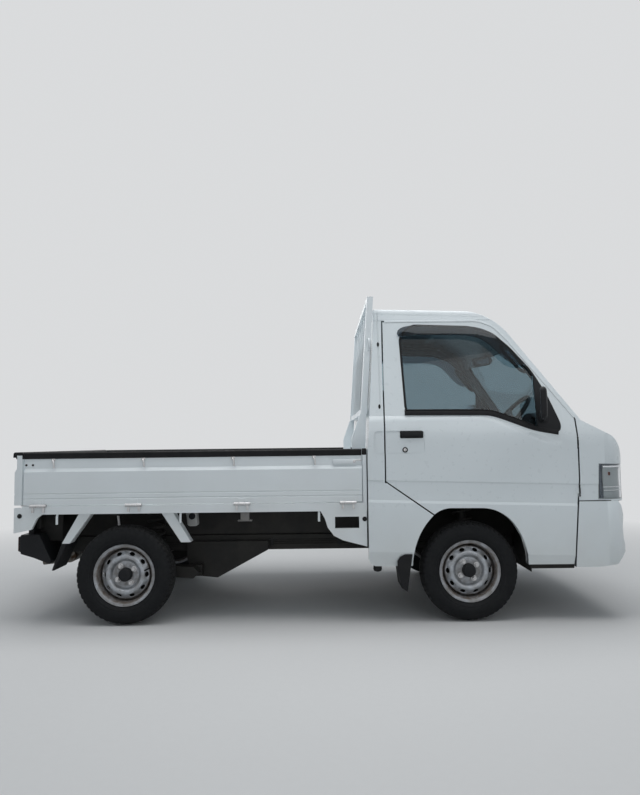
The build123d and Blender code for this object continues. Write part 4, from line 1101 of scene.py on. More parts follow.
def brakeDrum(look, x, y, out):
    # finned drum behind the wheel disc
    r = look["drumRadius"]
    profile = [(0.006, 0.062), (0.011, 0.070), (0.011, r - 0.010), (0.006, r - 0.002)]
    for k in range(4):
        along = 0.002 - 0.008 * k
        profile += [
            (along, r - 0.002), (along - 0.001, r + 0.003), (along - 0.004, r + 0.003),
            (along - 0.005, r - 0.002),
        ]
    profile += [(-0.030, r - 0.006), (-0.031, 0.066)]
    return [lathedForm(profile, (x, y, wheelHeight), (0, out, 0), 48)]


def brakeShield(look, x, y, out):
    # dished plate between the drum and the suspension, which closes the view through the hand holes
    r = look["shieldRadius"]
    profile = [(-0.0345, 0.062), (-0.0345, r - 0.020), (-0.0385, r - 0.012), (-0.0385, r), (-0.0405, r),
               (-0.0405, r - 0.012),
               (-0.0370, r - 0.022), (-0.0370, 0.062)]
    return [lathedForm(profile + [profile[0]], (x, y, wheelHeight), (0, out, 0), 56)]


def valveStem(x, y, out):
    start = Vector((x + 0.128, y + out * 0.020, wheelHeight + 0.030))
    tip = start + Vector((-0.012, out * 0.030, -0.003))
    cap = lathedForm([(0, 0), (0, 0.0044), (0.008, 0.0044), (0.009, 0.003), (0.009, 0)], tip, tip - start, 10)
    return [tubeForm([start, start.lerp(tip, 0.5), tip], 0.0035), cap]


for axle, centre in axleCentres.items():
    for side, out in (("right", -1), ("left", 1)):
        end = f"{axle}_{side}"
        body = f"wheel_{end}"
        carrier = f"knuckle_{side}" if axle == "front" else "truck"
        x, y = centre[0], out * tyreForm["track"]
        rimPaint = nodeFinishes[f"rim_{end}"]
        tread = [tyreMesh(tyreForm, x, y)]
        tyre = addPiece(f"treadedTyre_{end}", tread, nodeFinishes[f"tyre_{end}"], body, "tyre", 28)
        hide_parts(f"tyre_{end}")
        nuts, rings = wheelDetails(wheelTrim, x, y, out)
        addPiece(f"wheelNuts_{end}", nuts, zincSteel, body, "bright_steel")
        addPiece(f"rimRings_{end}", rings, rimPaint, body, "wheel_steel")
        wheel = addPiece(
            f"pressedWheel_{end}", pressedWheel(discForm, x, y, out), rimPaint, body, "wheel_steel"
        )
        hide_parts(f"rim_{end}")
        addPiece(f"hubCap_{end}", hubCap(wheelTrim, x, y, out), blackPlastic, body, "black_plastic")
        addPiece(f"valve_{end}", valveStem(x, y, out), blackRubber, body, "black_rubber")
        addPiece(f"brakeDrum_{end}", brakeDrum(wheelTrim, x, y, out), chassisBlack, body, "dark_steel")
        addPiece(f"brakeShield_{end}", brakeShield(wheelTrim, x, y, out), underCoat, carrier, "dark_steel")
print("wheels dressed")

# the bow of the nose: its axis and radius, and the rounded corner beside each headlamp

noseBow = {"axis": -5.310, "radius": 7.0, "cornerX": 1.542, "cornerY": -0.5876, "cornerRadius": 0.150}

# the cab's side wall: how far out it stands at a height, and which way it faces

cabSide = {
    "half": 0.7375, "beltLow": 1.040, "belt": 1.112, "beltHalf": 0.7225, "top": 1.685, "topHalf": 0.6105,
    "rear": 0.252, "slope": 0.029,
}


def sideOut(x, z):
    s = cabSide
    z = z + s["slope"] * (x - s["rear"])
    if z <= s["beltLow"]:
        return s["half"]
    if z <= s["belt"]:
        return s["half"] + (s["beltHalf"] - s["half"]) * (z - s["beltLow"]) / (s["belt"] - s["beltLow"])
    return s["beltHalf"] + (s["topHalf"] - s["beltHalf"]) * (z - s["belt"]) / (s["top"] - s["belt"])


def sidePoint(x, z, lift=0.0):
    # a point of the right side wall, lifted off it
    facing = sideFacing(x, z)
    return Vector((x, -sideOut(x, z), z)) + facing * lift


def sideFacing(x, z):
    if z + cabSide["slope"] * (x - cabSide["rear"]) <= cabSide["beltLow"]:
        return Vector((0, -1, 0))
    return Vector((0, -1, 0.195)).normalized()


windowLine = [
    (0.469, 1.140), (0.452, 1.574), (0.519, 1.640), (0.859, 1.627), (0.980, 1.587), (1.070, 1.502),
    (1.179, 1.366), (1.250, 1.232), (1.315, 1.060), (1.303, 1.022), (1.170, 1.046), (0.936, 1.136),
]
doorTrim = {
    "sealWidth": 0.013,
    "sealHeight": 0.0045,
    "beltWidth": 0.026,
    "beltHeight": 0.007,
}


def flatLine(points, lift=0.0):
    return [sidePoint(p.x, p.z, lift) for p in points]


def sideStrip(path, section, closed=False):
    return sweepForm(path, [sideFacing(p.x, p.z) for p in path], section, closed)


def windowSeal(look):
    path = flatLine(softSide(windowLine, 0.034, 5, True), -0.003)
    return [sideStrip(path, boxSection(look["sealWidth"], look["sealHeight"], 0.002), True)]


def beltMoulding(look):
    points = [
        Vector((x, 0, z))
        for x,
        z in (
            (0.462, 1.1335), (0.700, 1.1325), (0.930, 1.130), (1.010, 1.104), (1.170, 1.0405),
            (1.2995, 1.0175),
        )
    ]
    path = flatLine(softened(points, 0.05, 5), -0.002)
    strip = sideStrip(path, boxSection(look["beltWidth"], look["beltHeight"], 0.003))
    upper = flatLine(softened([Vector((p.x, 0, p.z + 0.017)) for p in points[:5]], 0.05, 5), -0.004)
    lip = sideStrip(upper, boxSection(0.006, 0.010, 0.002))
    return [strip, lip]


visorForm = {
    "fixed": [
        (0.438, 1.592), (0.446, 1.618), (0.490, 1.636), (0.560, 1.640), (0.670, 1.638), (0.830, 1.633),
        (0.915, 1.621), (0.995, 1.583), (1.050, 1.522), (1.105, 1.460), (1.154, 1.402),
    ],
    "free": [
        (0.444, 1.572), (0.480, 1.572), (0.540, 1.574), (0.620, 1.575), (0.710, 1.573), (0.830, 1.571),
        (0.905, 1.552), (0.960, 1.510), (1.025, 1.436), (1.085, 1.392), (1.146, 1.396),
    ],
    "lift": 0.022,
    "thick": 0.0026,
    "columns": 44,
}


def evenPoints(points, count):
    # the same line cut into equal steps
    line = softSide(points, 0.030, 4)
    lengths = [0.0]
    for a, b in zip(line, line[1:]):
        lengths.append(lengths[-1] + (b - a).length)
    spaced = []
    for i in range(count):
        want = lengths[-1] * i / (count - 1)
        k = next(j for j in range(1, len(line)) if lengths[j] >= want - 1e-9)
        share = (want - lengths[k - 1]) / max(1e-9, lengths[k] - lengths[k - 1])
        spaced.append(line[k - 1].lerp(line[k], share))
    return spaced


def rainVisor(look):
    # smoked strip along the top of the window: fixed at its upper edge, standing off at its lower one
    form = bmesh.new()
    columns = []
    count = look["columns"]
    for i, (a, b) in enumerate(zip(evenPoints(look["fixed"], count), evenPoints(look["free"], count))):
        share = min(1.0, 0.35 + 6.0 * i / count, 0.35 + 5.0 * (count - 1 - i) / count)
        column = []
        for step in range(7):
            t = step / 6
            q = a.lerp(b, t)
            column.append(
                form.verts.new(sidePoint(q.x, q.z, 0.003 + look["lift"] * share * t * (1.35 - 0.35 * t)))
            )
        columns.append(column)
    skinRows(form, columns)
    bmesh.ops.recalc_face_normals(form, faces=form.faces)
    bmesh.ops.solidify(form, geom=list(form.faces), thickness=look["thick"])
    return [form]


def doorFlange():
    # turned-out edge of the door's frame, which laps over the shut line along the roof and the screen pillar
    points = [
        (0.3685, 1.664), (0.905, 1.664), (0.988, 1.631), (1.061, 1.552), (1.371, 1.134), (1.3945, 1.100)
    ]
    path = flatLine(softSide(points, 0.030, 5), 0.0004)
    return [sideStrip(path, boxSection(0.0120, 0.0016, 0.0005))]


def doorHandle():
    # bezel, and the flap with its finger gap
    place = lambda u, v, w: Vector((0.495 + u, -0.7330 - w, 1.016 + v))
    bezel = plateForm(roundedOutline(0.128, 0.042, 0.007), place, 0.0035, 0.001)
    flapPlace = lambda u, v, w: Vector((0.497 + u, -0.7355 - w - 0.004 * math.cos(u * 20), 1.019 + v))
    flap = plateForm(roundedOutline(0.112, 0.026, 0.006), flapPlace, 0.010, 0.0025, 3)
    return [bezel, flap]


def doorLock():
    # dark surround, and the bright barrel with its key slot
    centre = Vector((0.458, -0.7335, 0.932))
    out = (0, -1, 0)
    surround = lathedForm([
        (-0.001, 0.0085), (-0.001, 0.0150), (0.0022, 0.0150), (0.0034, 0.0132), (0.0034, 0.0098),
        (0.0020, 0.0085),
    ], centre, out, 32)
    slot = blockForm(
        centre + Vector((-0.0012, -0.0046, -0.0050)), centre + Vector((0.0012, -0.0036, 0.0050)), 0.0003
    )
    barrel = lathedForm(
        [(-0.001, 0), (-0.001, 0.0088), (0.0026, 0.0088), (0.0036, 0.0075), (0.0036, 0)], centre, out, 28
    )
    return [surround, slot], [barrel]


mirrorForm = {
    "middle": (1.182, -0.812, 1.174), "turn": 18.0, "width": 0.122, "height": 0.178, "depth": 0.034,
    "sail": [(1.1905, 1.0425), (1.1905, 1.343), (1.249, 1.231), (1.3135, 1.060), (1.302, 1.0235)],
}


def mirrorPlace(look):
    turn = math.radians(look["turn"])
    across, ahead = Vector((math.sin(turn), math.cos(turn), 0)), Vector((math.cos(turn), -math.sin(turn), 0))
    return lambda u, v, w: Vector(look["middle"]) + across * u + Vector((0, 0, v)) + ahead * w


def mirrorShell(look):
    # domed housing on a short arm, which grows out of the black panel in the window's corner
    place = mirrorPlace(look)
    steps = [
        (0.0, 0.0035), (0.002, 0.0005), (0.006, 0.0), (0.016, 0.0), (0.024, 0.004), (0.030, 0.011),
        (0.033, 0.022), (look["depth"], 0.036),
    ]
    head = domedForm(look, place, steps, 0.030, 0.6)
    outline = [(p.x, p.z) for p in softSide(look["sail"], 0.010, 3, True)]
    sail = plateForm(outline, lambda x, z, w: sidePoint(x, z, -0.016 + w), 0.0185, 0.0035, 3)
    arm = softened(
        [(1.222, -0.690, 1.098), (1.214, -0.735, 1.096), (1.203, -0.768, 1.104), (1.199, -0.790, 1.124)],
        0.02, 5,
    )
    neck = sweepForm(arm, Vector((1, 0, 0)), boxSection(0.036, 0.024, 0.007, -0.012))
    foot = plateForm(
        roundedOutline(0.046, 0.052, 0.014), lambda u, v, w: sidePoint(1.222 + u, 1.098 + v, w),
        0.012, 0.005, 3,
    )
    return [head, sail, neck, foot]


def mirrorGlass(look):
    # silvered glass in the housing's rear face
    place = mirrorPlace(look)
    return [plateForm(
        roundedOutline(look["width"] - 0.012, look["height"] - 0.012, 0.022),
        lambda u, v, w: place(u, v, 0.0008 - w), 0.0012, 0.0004,
    )]


hingeCover = {"x": 1.404, "y": -0.732, "heights": (0.700, 0.960), "half": 0.0325}


def hingeSkins(look, low, high):
    # slips of door skin that carry the panel's edge past the hinge pockets
    return [
        blockForm((low, -0.7374, z - look["half"]), (high, -0.7367, z + look["half"]), 0.0002)
        for z in look["heights"]
    ]


def hingeShadeSleeves(look):
    # black sleeves on the hinge knuckles, which paint the shade in the door's front gap
    return [lathedForm([
        (-look["half"], 0.0050), (-look["half"], 0.0053), (look["half"], 0.0053), (look["half"], 0.0050),
    ], (look["x"], look["y"], z), (0, 0, 1), 20) for z in look["heights"]]


cardForm = {
    "y": -0.6868,
    "thick": 0.014,
    "outline": [
        (0.385, 1.085), (0.900, 1.085), (1.120, 1.010), (1.250, 0.985), (1.340, 0.955), (1.350, 0.880),
        (1.345, 0.640), (1.050, 0.640), (0.940, 0.662), (0.640, 0.662), (0.385, 0.800),
    ],
}


def cardPlace(look, x, z):
    return lambda u, v, w: Vector((x + u, look["y"] + w, z + v))


def doorCard(look):
    outline = [(p.x, p.z) for p in softSide(look["outline"], 0.035, 4, True)]
    panel = plateForm(outline, cardPlace(look, 0, 0), look["thick"], 0.005, 3)
    rest = plateForm(roundedOutline(0.400, 0.060, 0.022), cardPlace(look, 0.800, 0.890), 0.052, 0.014, 4)
    pull = [
        cardPlace(look, x, 0.905)(0, 0, w)
        for x, w in ((0.700, 0.045), (0.720, 0.066), (0.800, 0.072), (0.880, 0.066), (0.900, 0.045))
    ]
    grip = sweepForm(softened(pull, 0.02, 4), Vector((0, 0, 1)), boxSection(0.018, 0.020, 0.006, -0.010))
    beads = []
    for z in (0.800, 0.745):
        a, b = cardPlace(look, 0.520, z)(0, 0, 0.012), cardPlace(look, 1.280, z)(0, 0, 0.012)
        line = [a.lerp(b, s / 6) for s in range(7)]
        beads.append(sweepForm(line, Vector((0, 1, 0)), boxSection(0.010, 0.005, 0.002)))
    return [panel, rest, grip, *beads]


def doorPocket(look):
    # map pocket with its lip, and the round speaker grille ahead of it
    pocket = plateForm(roundedOutline(0.440, 0.090, 0.020), cardPlace(look, 0.800, 0.716), 0.030, 0.006, 3)
    lip = [cardPlace(look, 0.800, 0.762)(u, 0, 0.030) for u in (-0.205, -0.1, 0.0, 0.1, 0.205)]
    edge = sweepForm(lip, Vector((0, 1, 0)), boxSection(0.010, 0.008, 0.003, -0.004))
    speaker = lathedForm([
        (0, 0), (0, 0.070), (0.006, 0.070), (0.009, 0.062), (0.0075, 0.056), (0.010, 0.030), (0.0105, 0),
    ], cardPlace(look, 1.190, 0.740)(0, 0, 0.0125), (0, 1, 0), 40)
    return [pocket, edge, speaker]


def doorWinder(look):
    hub = cardPlace(look, 1.010, 0.830)(0, 0, 0.012)
    boss = lathedForm([(0, 0), (0, 0.026), (0.010, 0.024), (0.016, 0.018), (0.018, 0)], hub, (0, 1, 0), 28)
    arm = [
        hub + Vector((0, 0.012, 0)), hub + Vector((0.040, 0.020, 0.012)), hub + Vector((0.092, 0.020, 0.026))
    ]
    crank = sweepForm(arm, Vector((0, 1, 0)), boxSection(0.017, 0.009, 0.003))
    knob = lathedForm([
        (0, 0), (0, 0.008), (0.006, 0.008), (0.010, 0.0135), (0.026, 0.0125), (0.031, 0.008), (0.031, 0),
    ], arm[-1] + Vector((0, 0.004, 0)), (0, 1, 0), 24)
    latch = plateForm(roundedOutline(0.090, 0.032, 0.008), cardPlace(look, 1.200, 0.900), 0.020, 0.005, 3)
    return [boss, crank, knob, latch]


lockSurround, lockBarrel = doorLock()
doorPieces = {
    "windowSeal": (windowSeal(doorTrim), blackRubber, "black_rubber"),
    "beltMoulding": (beltMoulding(doorTrim), blackRubber, "black_rubber"),
    "rainVisor": (rainVisor(visorForm), visorSmoke, "glass"),
    "doorHandle": (doorHandle(), blackPlastic, "black_plastic"),
    "doorFlange": (doorFlange(), bodyWhite, "white_paint"),
    "lockSurround": (lockSurround, blackPlastic, "black_plastic"),
    "lockBarrel": (lockBarrel, zincSteel, "bright_steel"),
    "mirrorShell": (mirrorShell(mirrorForm), blackPlastic, "black_plastic"),
    "mirrorGlass": (mirrorGlass(mirrorForm), silveredGlass, "bright_steel"),
    "hingeSkins": (hingeSkins(hingeCover, 1.3962, 1.3992), bodyWhite, "white_paint"),
    "hingeShadeSleeves": (hingeShadeSleeves(hingeCover), blackRubber, "black_rubber"),
    "doorCard": (doorCard(cardForm), cabinGrey, "grey_plastic"),
    "doorPocket": (doorPocket(cardForm), blackPlastic, "black_plastic"),
    "doorWinder": (doorWinder(cardForm), blackPlastic, "black_plastic"),
}
for name, (forms, finish, slotName) in doorPieces.items():
    rightPiece, leftPiece = addPair(name, forms, finish, "door", slotName)
    if name == "mirrorShell":
        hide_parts("mirror_right")
        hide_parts("mirror_left")


def pillarPlugs():
    # two oval bungs in the pillar behind each door
    forms = []
    for x, z in ((0.324, 1.172), (0.328, 1.528)):
        place = lambda u, v, w: sidePoint(x + u, z + v, w)
        forms.append(plateForm(ovalOutline(0.0065, 0.013, 24), place, 0.0025, 0.001))
    return forms


def jackBung():
    # round rubber stop under the rear corner of the cab
    return [lathedForm(
        [(0, 0), (0, 0.022), (0.020, 0.024), (0.030, 0.020), (0.034, 0.010), (0.034, 0)],
        (0.300, -0.690, 0.306), (0, 0, -1), 24,
    )]


def seamShadeBead():
    # black bead in the joint between the nose and the bumper, from the door round the corner to the middle;
    # it paints the joint's shadow line
    side, height, radius = -0.7374, 0.6435, noseBow["cornerRadius"]
    corner = Vector((noseBow["cornerX"], noseBow["cornerY"], 0))

    def bowX(y):
        return noseBow["axis"] + math.sqrt(noseBow["radius"] ** 2 - y * y)

    points = [Vector((1.397, side, height)), Vector((1.470, side, height))]
    for step in range(13):
        turn = math.radians(90 * step / 12)
        x, y = corner.x + radius * math.sin(turn), corner.y - radius * math.cos(turn)
        points.append(Vector((min(x, bowX(y)), y, height)))
    points += [Vector((bowX(y), y, height)) for y in (-0.48, -0.36, -0.24, -0.12, -0.0)]
    outs = []
    for i in range(len(points)):
        ahead, behind = points[min(i + 1, len(points) - 1)], points[max(i - 1, 0)]
        outs.append((ahead - behind).normalized().cross(Vector((0, 0, 1))))
    return [sweepForm(points, outs, boxSection(0.0055, 0.004, 0.001, -0.0042))]


def shadeLiners():
    # black liners ahead of and behind the front wheel, and the strip under the door's front; they close the
    # view under the cab with painted shade
    liner = blockForm((1.1355, -0.700, 0.262), (1.1400, -0.290, 0.480), 0.001)
    behind = blockForm((0.4440, -0.640, 0.262), (0.4485, -0.405, 0.470), 0.001)
    strip = blockForm((1.128, -0.716, 0.281), (1.368, -0.690, 0.312), 0.004)
    return [liner, behind, strip]


fixedPieces = {
    "pillarPlugs": (pillarPlugs(), blackRubber, "black_rubber"),
    "jackBung": (jackBung(), blackRubber, "black_rubber"),
    "seamShadeBead": (seamShadeBead(), blackRubber, "black_rubber"),
    "shadeLiners": (shadeLiners(), underCoat, "black_plastic"),
    "noseSkins": (hingeSkins(hingeCover, 1.4090, 1.4122), bodyWhite, "white_paint"),
}
for name, (forms, finish, slotName) in fixedPieces.items():
    addPair(name, forms, finish, "truck", slotName)
print("doors dressed")

# bed: rope hooks, gate latches, bolts

bedTrim = {
    "half": 0.715,
    "upperHooks": (-1.466, -0.973, -0.480, -0.035),
    "lowerHooks": (-1.448, -0.774, -0.017),
    "hookRadius": 0.0055,
    "recess": 0.012,
}


def upperHook(look, x):
    y = -look["half"] + look["recess"]
    top = 0.902
    points = [(x - 0.010, y + 0.004, top), (x - 0.010, y - 0.010, top - 0.004),
              (x - 0.004, y - 0.0145, top - 0.012),
              (x, y - 0.0145, top - 0.026), (x, y - 0.0135, top - 0.046)]
    foot = blockForm((x - 0.017, y - 0.004, top - 0.010), (x + 0.003, y + 0.002, top + 0.004), 0.0015)
    return [tubeForm(softened(points, 0.008), look["hookRadius"]), foot]


def lowerHook(look, x):
    y = -look["half"] + 0.012
    points = [(x, y + 0.012, 0.612), (x, y, 0.600), (x, y - 0.006, 0.588), (x, y - 0.006, 0.548)]
    return [tubeForm(softened(points, 0.010), look["hookRadius"] + 0.001)]


def gateLatch(look, frontX):
    # pivoted lever, its link and the keeper on the headboard's edge
    y = -look["half"] + look["recess"]
    place = lambda u, v, w: Vector((frontX + u, y - w, 0.872 + v))
    plate = plateForm(
        roundedOutline(0.060, 0.030, 0.006), lambda u, v, w: place(u - 0.028, v, w), 0.003, 0.001
    )
    lever = plateForm([
        (-0.148, -0.013), (-0.154, -0.004), (-0.154, 0.008), (-0.146, 0.013), (-0.052, 0.013),
        (-0.030, 0.009), (-0.020, 0.0), (-0.034, -0.010), (-0.060, -0.013),
    ], lambda u, v, w: place(u, v, w + 0.003), 0.009, 0.002, 2)
    pivot = lathedForm(
        [(0.003, 0), (0.003, 0.008), (0.013, 0.008), (0.0145, 0.006), (0.0145, 0)], place(-0.034, 0.0, 0),
        (0, -1, 0), 16,
    )
    link = tubeForm(
        softened(
            [place(-0.040, 0.006, 0.010), place(-0.010, 0.008, 0.011), place(0.006, 0.004, 0.009)], 0.008
        ),
        0.0032,
    )
    return [plate, lever], [pivot, link]


def boltHead(centre, axis, radius):
    return lathedForm([
        (0, 0), (0, radius), (radius * 0.5, radius * 0.95), (radius * 0.75, radius * 0.55),
        (radius * 0.8, 0),
    ], centre, axis, 14)


gateForms = []
for x in bedTrim["upperHooks"]:
    gateForms += upperHook(bedTrim, x)
latchLever, latchLink = gateLatch(bedTrim, 0.214)
gateBolts = [boltHead((x, -0.703, 0.872), (0, -1, 0), 0.006) for x in (-1.622, -1.586)]
sillForms = []
for x in bedTrim["lowerHooks"]:
    sillForms += lowerHook(bedTrim, x)
plugs = [lathedForm([
    (0, 0), (0, 0.013), (0.003, 0.0125), (0.004, 0.009), (0.004, 0),
], (x, -0.7148, z), (0, -1, 0), 20) for x, z in ((-1.649, 0.596), (0.232, 0.559))]
bedPieces = {
    "ropeHooks": (gateForms, zincSteel, "side_gate", "bright_steel"),
    "gateLatch": (latchLever, bedWhite, "side_gate", "bed_paint"),
    "latchLink": (latchLink, zincSteel, "side_gate", "bright_steel"),
    "gateBolts": (gateBolts, chassisBlack, "side_gate", "dark_steel"),
    "sillHooks": (sillForms, bedWhite, "truck", "bed_paint"),
    "sillPlugs": (plugs, blackRubber, "truck", "black_rubber"),
}
for name, details in bedPieces.items():
    addPair(name, *details)


def hingeBarrels():
    # bright sleeves on the gate hinges: two on the sill and the one between them on the gate
    fixed, moving = [], []
    for x in (-1.547, -1.027, -0.436, 0.143):
        for k, group in ((-1, fixed), (0, moving), (1, fixed)):
            ring = [
                (-0.0145, 0.0072), (-0.0145, 0.0084), (-0.0135, 0.0092), (0.0135, 0.0092), (0.0145, 0.0084),
                (0.0145, 0.0072),
            ]
            group.append(lathedForm(ring + [ring[0]], (x + 0.0305 * k, -0.724, 0.650), (1, 0, 0), 20))
    return fixed, moving


fixedBarrels, movingBarrels = hingeBarrels()
addPair("hingeBarrels", fixedBarrels, zincSteel, "truck", "bright_steel")
addPair("gateBarrels", movingBarrels, zincSteel, "side_gate", "bright_steel")
print("bed dressed")

# the cab's front: how far a height stands from the axis that the nose is bowed about

cabFront = {
    "nose": [
        (0.200, 7.000), (0.845, 7.000), (0.900, 6.994), (0.938, 6.989), (0.970, 6.971), (0.995, 6.945),
        (1.084, 6.779), (1.569, 6.425), (1.620, 6.377), (1.665, 6.330), (1.705, 6.220), (1.735, 6.070),
    ],
    "bumper": [
        (0.291, 6.847), (0.303, 6.950), (0.365, 7.0075), (0.398, 7.0075), (0.431, 6.9965), (0.497, 6.9915),
        (0.564, 6.9995), (0.614, 6.9865), (0.642, 6.9655),
    ],
}


def reachAt(line, z):
    for (lowZ, low), (highZ, high) in zip(line, line[1:]):
        if z <= highZ:
            return low + (high - low) * (z - lowZ) / (highZ - lowZ)
    return line[-1][1]


def frontFacing(y, z, line="nose"):
    rows = cabFront[line]
    rise = (reachAt(rows, z + 0.004) - reachAt(rows, z - 0.004)) / 0.008
    return Vector((1, y / noseBow["radius"], -rise)).normalized()


def frontPoint(y, z, lift=0.0, line="nose"):
    reach = reachAt(cabFront[line], z)
    x = noseBow["axis"] + math.sqrt(reach * reach - y * y)
    return Vector((x, y, z)) + frontFacing(y, z, line) * lift


def frontStrip(path, section, line="nose", closed=False):
    return sweepForm(path, [frontFacing(p.y, p.z, line) for p in path], section, closed)


def acrossNose(y, z, count, lift, line="nose"):
    # points along one height of the nose, from -y to y
    return [frontPoint(y * (2 * i / count - 1), z, lift, line) for i in range(count + 1)]


screenEdge = {
    "middle": (1.300, 0.0, 1.320), "up": (-0.589, 0.0, 0.808), "out": (0.808, 0.0, 0.589),
    "corners": [(-0.635, -0.285), (0.635, -0.285), (0.555, 0.275), (-0.555, 0.275)],
    "sealWidth": 0.020, "sealHeight": 0.0045,
}


def onScreen(u, v, lift=0.0):
    # a point of the screen's own plane carried out to the bowed glass
    point = Vector(screenEdge["middle"]) + Vector((0, u, 0)) + Vector(screenEdge["up"]) * v
    out = Vector(screenEdge["out"])
    for _ in range(8):
        point -= out * ((point.x - frontPoint(point.y, point.z).x) / (out.x + out.z * 0.73))
    return point + frontFacing(point.y, point.z) * lift


def screenSeal(look):
    line = softened([Vector((u, v, 0)) for u, v in look["corners"]], 0.07, 6, True)
    dense = []
    for i, p in enumerate(line):
        q = line[(i + 1) % len(line)]
        steps = max(1, int((q - p).length / 0.08))
        dense += [p.lerp(q, s / steps) for s in range(steps)]
    path = [onScreen(p.x, p.y, -0.0035) for p in dense]
    return [frontStrip(path, boxSection(look["sealWidth"], look["sealHeight"] + 0.0035, 0.002), closed=True)]


rearGlass = {
    "width": 1.040, "height": 0.390, "middle": (0.2845, 0.0, 1.370), "lean": 0.0692, "sealWidth": 0.024
}


def rearSeal(look):
    out = Vector((-1, 0, look["lean"])).normalized()
    up = Vector((look["lean"], 0, 1)).normalized()
    outline = roundedOutline(look["width"], look["height"], 0.050, 6)
    path = [Vector(look["middle"]) + Vector((0, u, 0)) + up * v + out * -0.006 for u, v in outline]
    return [sweepForm(path, out, boxSection(look["sealWidth"], 0.0105, 0.003), True)]


# wipers, parked with their tips to the truck's left, on the black cowl strip below the screen

wiper = {
    "pivots": ((-0.500, 0.330), (0.060, 0.330)), "foot": -0.272, "armRise": 0.055, "bladeRise": 0.030,
    "blade": 0.40,
}


def wiperForms(look):
    arms, blades = [], []
    for pivot, reach in look["pivots"]:
        base = onScreen(pivot, look["foot"] - 0.022, 0.004)
        out = frontFacing(pivot, base.z)
        arms.append(
            lathedForm(
                [(0, 0), (0, 0.015), (0.010, 0.013), (0.018, 0.0105), (0.021, 0.006), (0.021, 0)],
                base, out, 20,
            )
        )
        elbow = onScreen(pivot + 0.10, look["foot"] + 0.006, 0.030)
        tip = onScreen(pivot + reach, look["foot"] + look["armRise"], 0.026)
        path = softened([base + out * 0.014, elbow, tip], 0.05, 5)
        arms.append(sweepForm(path, out, boxSection(0.013, 0.006, 0.002, -0.003)))
        start = onScreen(pivot + reach - look["blade"] * 0.52, look["foot"] + look["bladeRise"], 0.010)
        ends = [start] + [
            onScreen(
                pivot + reach - look["blade"] * (0.52 - s / 8), look["foot"] + look["bladeRise"] + 0.004 * s,
                0.009,
            )
            for s in range(1, 9)
        ]
        blades.append(
            sweepForm(
                ends, out,
                [
                    (-0.0012, -0.009), (-0.003, 0.0), (-0.004, 0.006), (0.004, 0.006), (0.003, 0.0),
                    (0.0012, -0.009),
                ],
            )
        )
        spine = [p + out * 0.010 for p in ends]
        arms.append(sweepForm(spine, out, boxSection(0.006, 0.003, 0.001)))
        clip = ends[4] + out * 0.012
        arms.append(
            blockForm(clip - Vector((0.006, 0.014, 0.004)), clip + Vector((0.006, 0.014, 0.010)), 0.002)
        )
    return arms, blades


def cowlStrip():
    path = [onScreen(0.640 * (2 * i / 16 - 1), -0.292, -0.002) for i in range(17)]
    strip = frontStrip(path, boxSection(0.030, 0.007, 0.003))
    slots = []
    for side in (-1, 1):
        for i in range(7):
            y = side * 0.30 + (i - 3) * 0.030
            p = onScreen(y, -0.292, 0.0035)
            slots.append(
                blockForm(p - Vector((0.004, 0.010, 0.003)), p + Vector((0.004, 0.010, 0.003)), 0.001)
            )
    return [strip, *slots]


def washerJets():
    forms = []
    for y in (-0.22, 0.22):
        p = frontPoint(y, 1.062, -0.001)
        forms.append(
            lathedForm(
                [(0, 0), (0, 0.010), (0.004, 0.009), (0.007, 0.005), (0.007, 0)], p, frontFacing(y, 1.062), 18
            )
        )
    return forms


# grille in its recess, slatted intake in the bumper, blank plate on its holder

noseTrim = {
    "grilleHalf": 0.322, "grille": (0.706, 0.776), "slats": 4, "intakeHalf": 0.284, "intake": (0.424, 0.480)
}


def grilleForms(look):
    low, high = look["grille"]
    forms = []
    back = acrossNose(look["grilleHalf"], (low + high) / 2, 12, -0.0135)
    forms.append(frontStrip(back, boxSection(high - low + 0.004, 0.002, 0.0005)))
    for i in range(look["slats"]):
        z = low + (high - low) * (i + 0.5) / look["slats"]
        line = acrossNose(look["grilleHalf"], z, 12, -0.012)
        forms.append(frontStrip(line, [
            (-0.006, 0.0), (-0.0045, 0.009), (-0.002, 0.0105), (0.002, 0.0105), (0.0045, 0.008), (0.006, 0.0),
        ]))
    outline = roundedOutline(2 * look["grilleHalf"], high - low, 0.008, 3)
    rim = [(y, z + (low + high) / 2) for y, z in outline]
    path = [frontPoint(y, z, -0.012) for y, z in rim]
    forms.append(sweepForm(path, [frontFacing(y, z) for y, z in rim], boxSection(0.010, 0.0125, 0.002), True))
    for i in range(5):
        y = -0.26 + 0.13 * i
        a, b = frontPoint(y, low, -0.0125), frontPoint(y, high, -0.0125)
        forms.append(barForm(a, b, frontFacing(y, 0.74), boxSection(0.006, 0.006, 0.0015)))
    return forms


def intakeForms(look):
    low, high = look["intake"]
    forms = []
    back = acrossNose(look["intakeHalf"], (low + high) / 2, 12, -0.052, "bumper")
    forms.append(frontStrip(back, boxSection(high - low + 0.006, 0.003, 0.001), "bumper"))
    for i in range(3):
        z = low + (high - low) * (i + 0.5) / 3
        line = acrossNose(look["intakeHalf"], z, 12, -0.050, "bumper")
        forms.append(sweepForm(line, Vector((1, 0, 0.12)).normalized(),
                               [
                                   (-0.0045, 0.0), (-0.003, 0.034), (0.0, 0.037), (0.003, 0.034),
                                   (0.0045, 0.0),
                               ]))
    for i in range(9):
        y = -0.24 + 0.06 * i
        a = frontPoint(y, low, -0.048, "bumper")
        b = frontPoint(y, high, -0.048, "bumper")
        forms.append(barForm(a, b, Vector((1, 0, 0)), boxSection(0.004, 0.020, 0.0015)))
    return forms


plate = {"width": 0.330, "height": 0.165, "corner": 0.012, "thick": 0.0012}


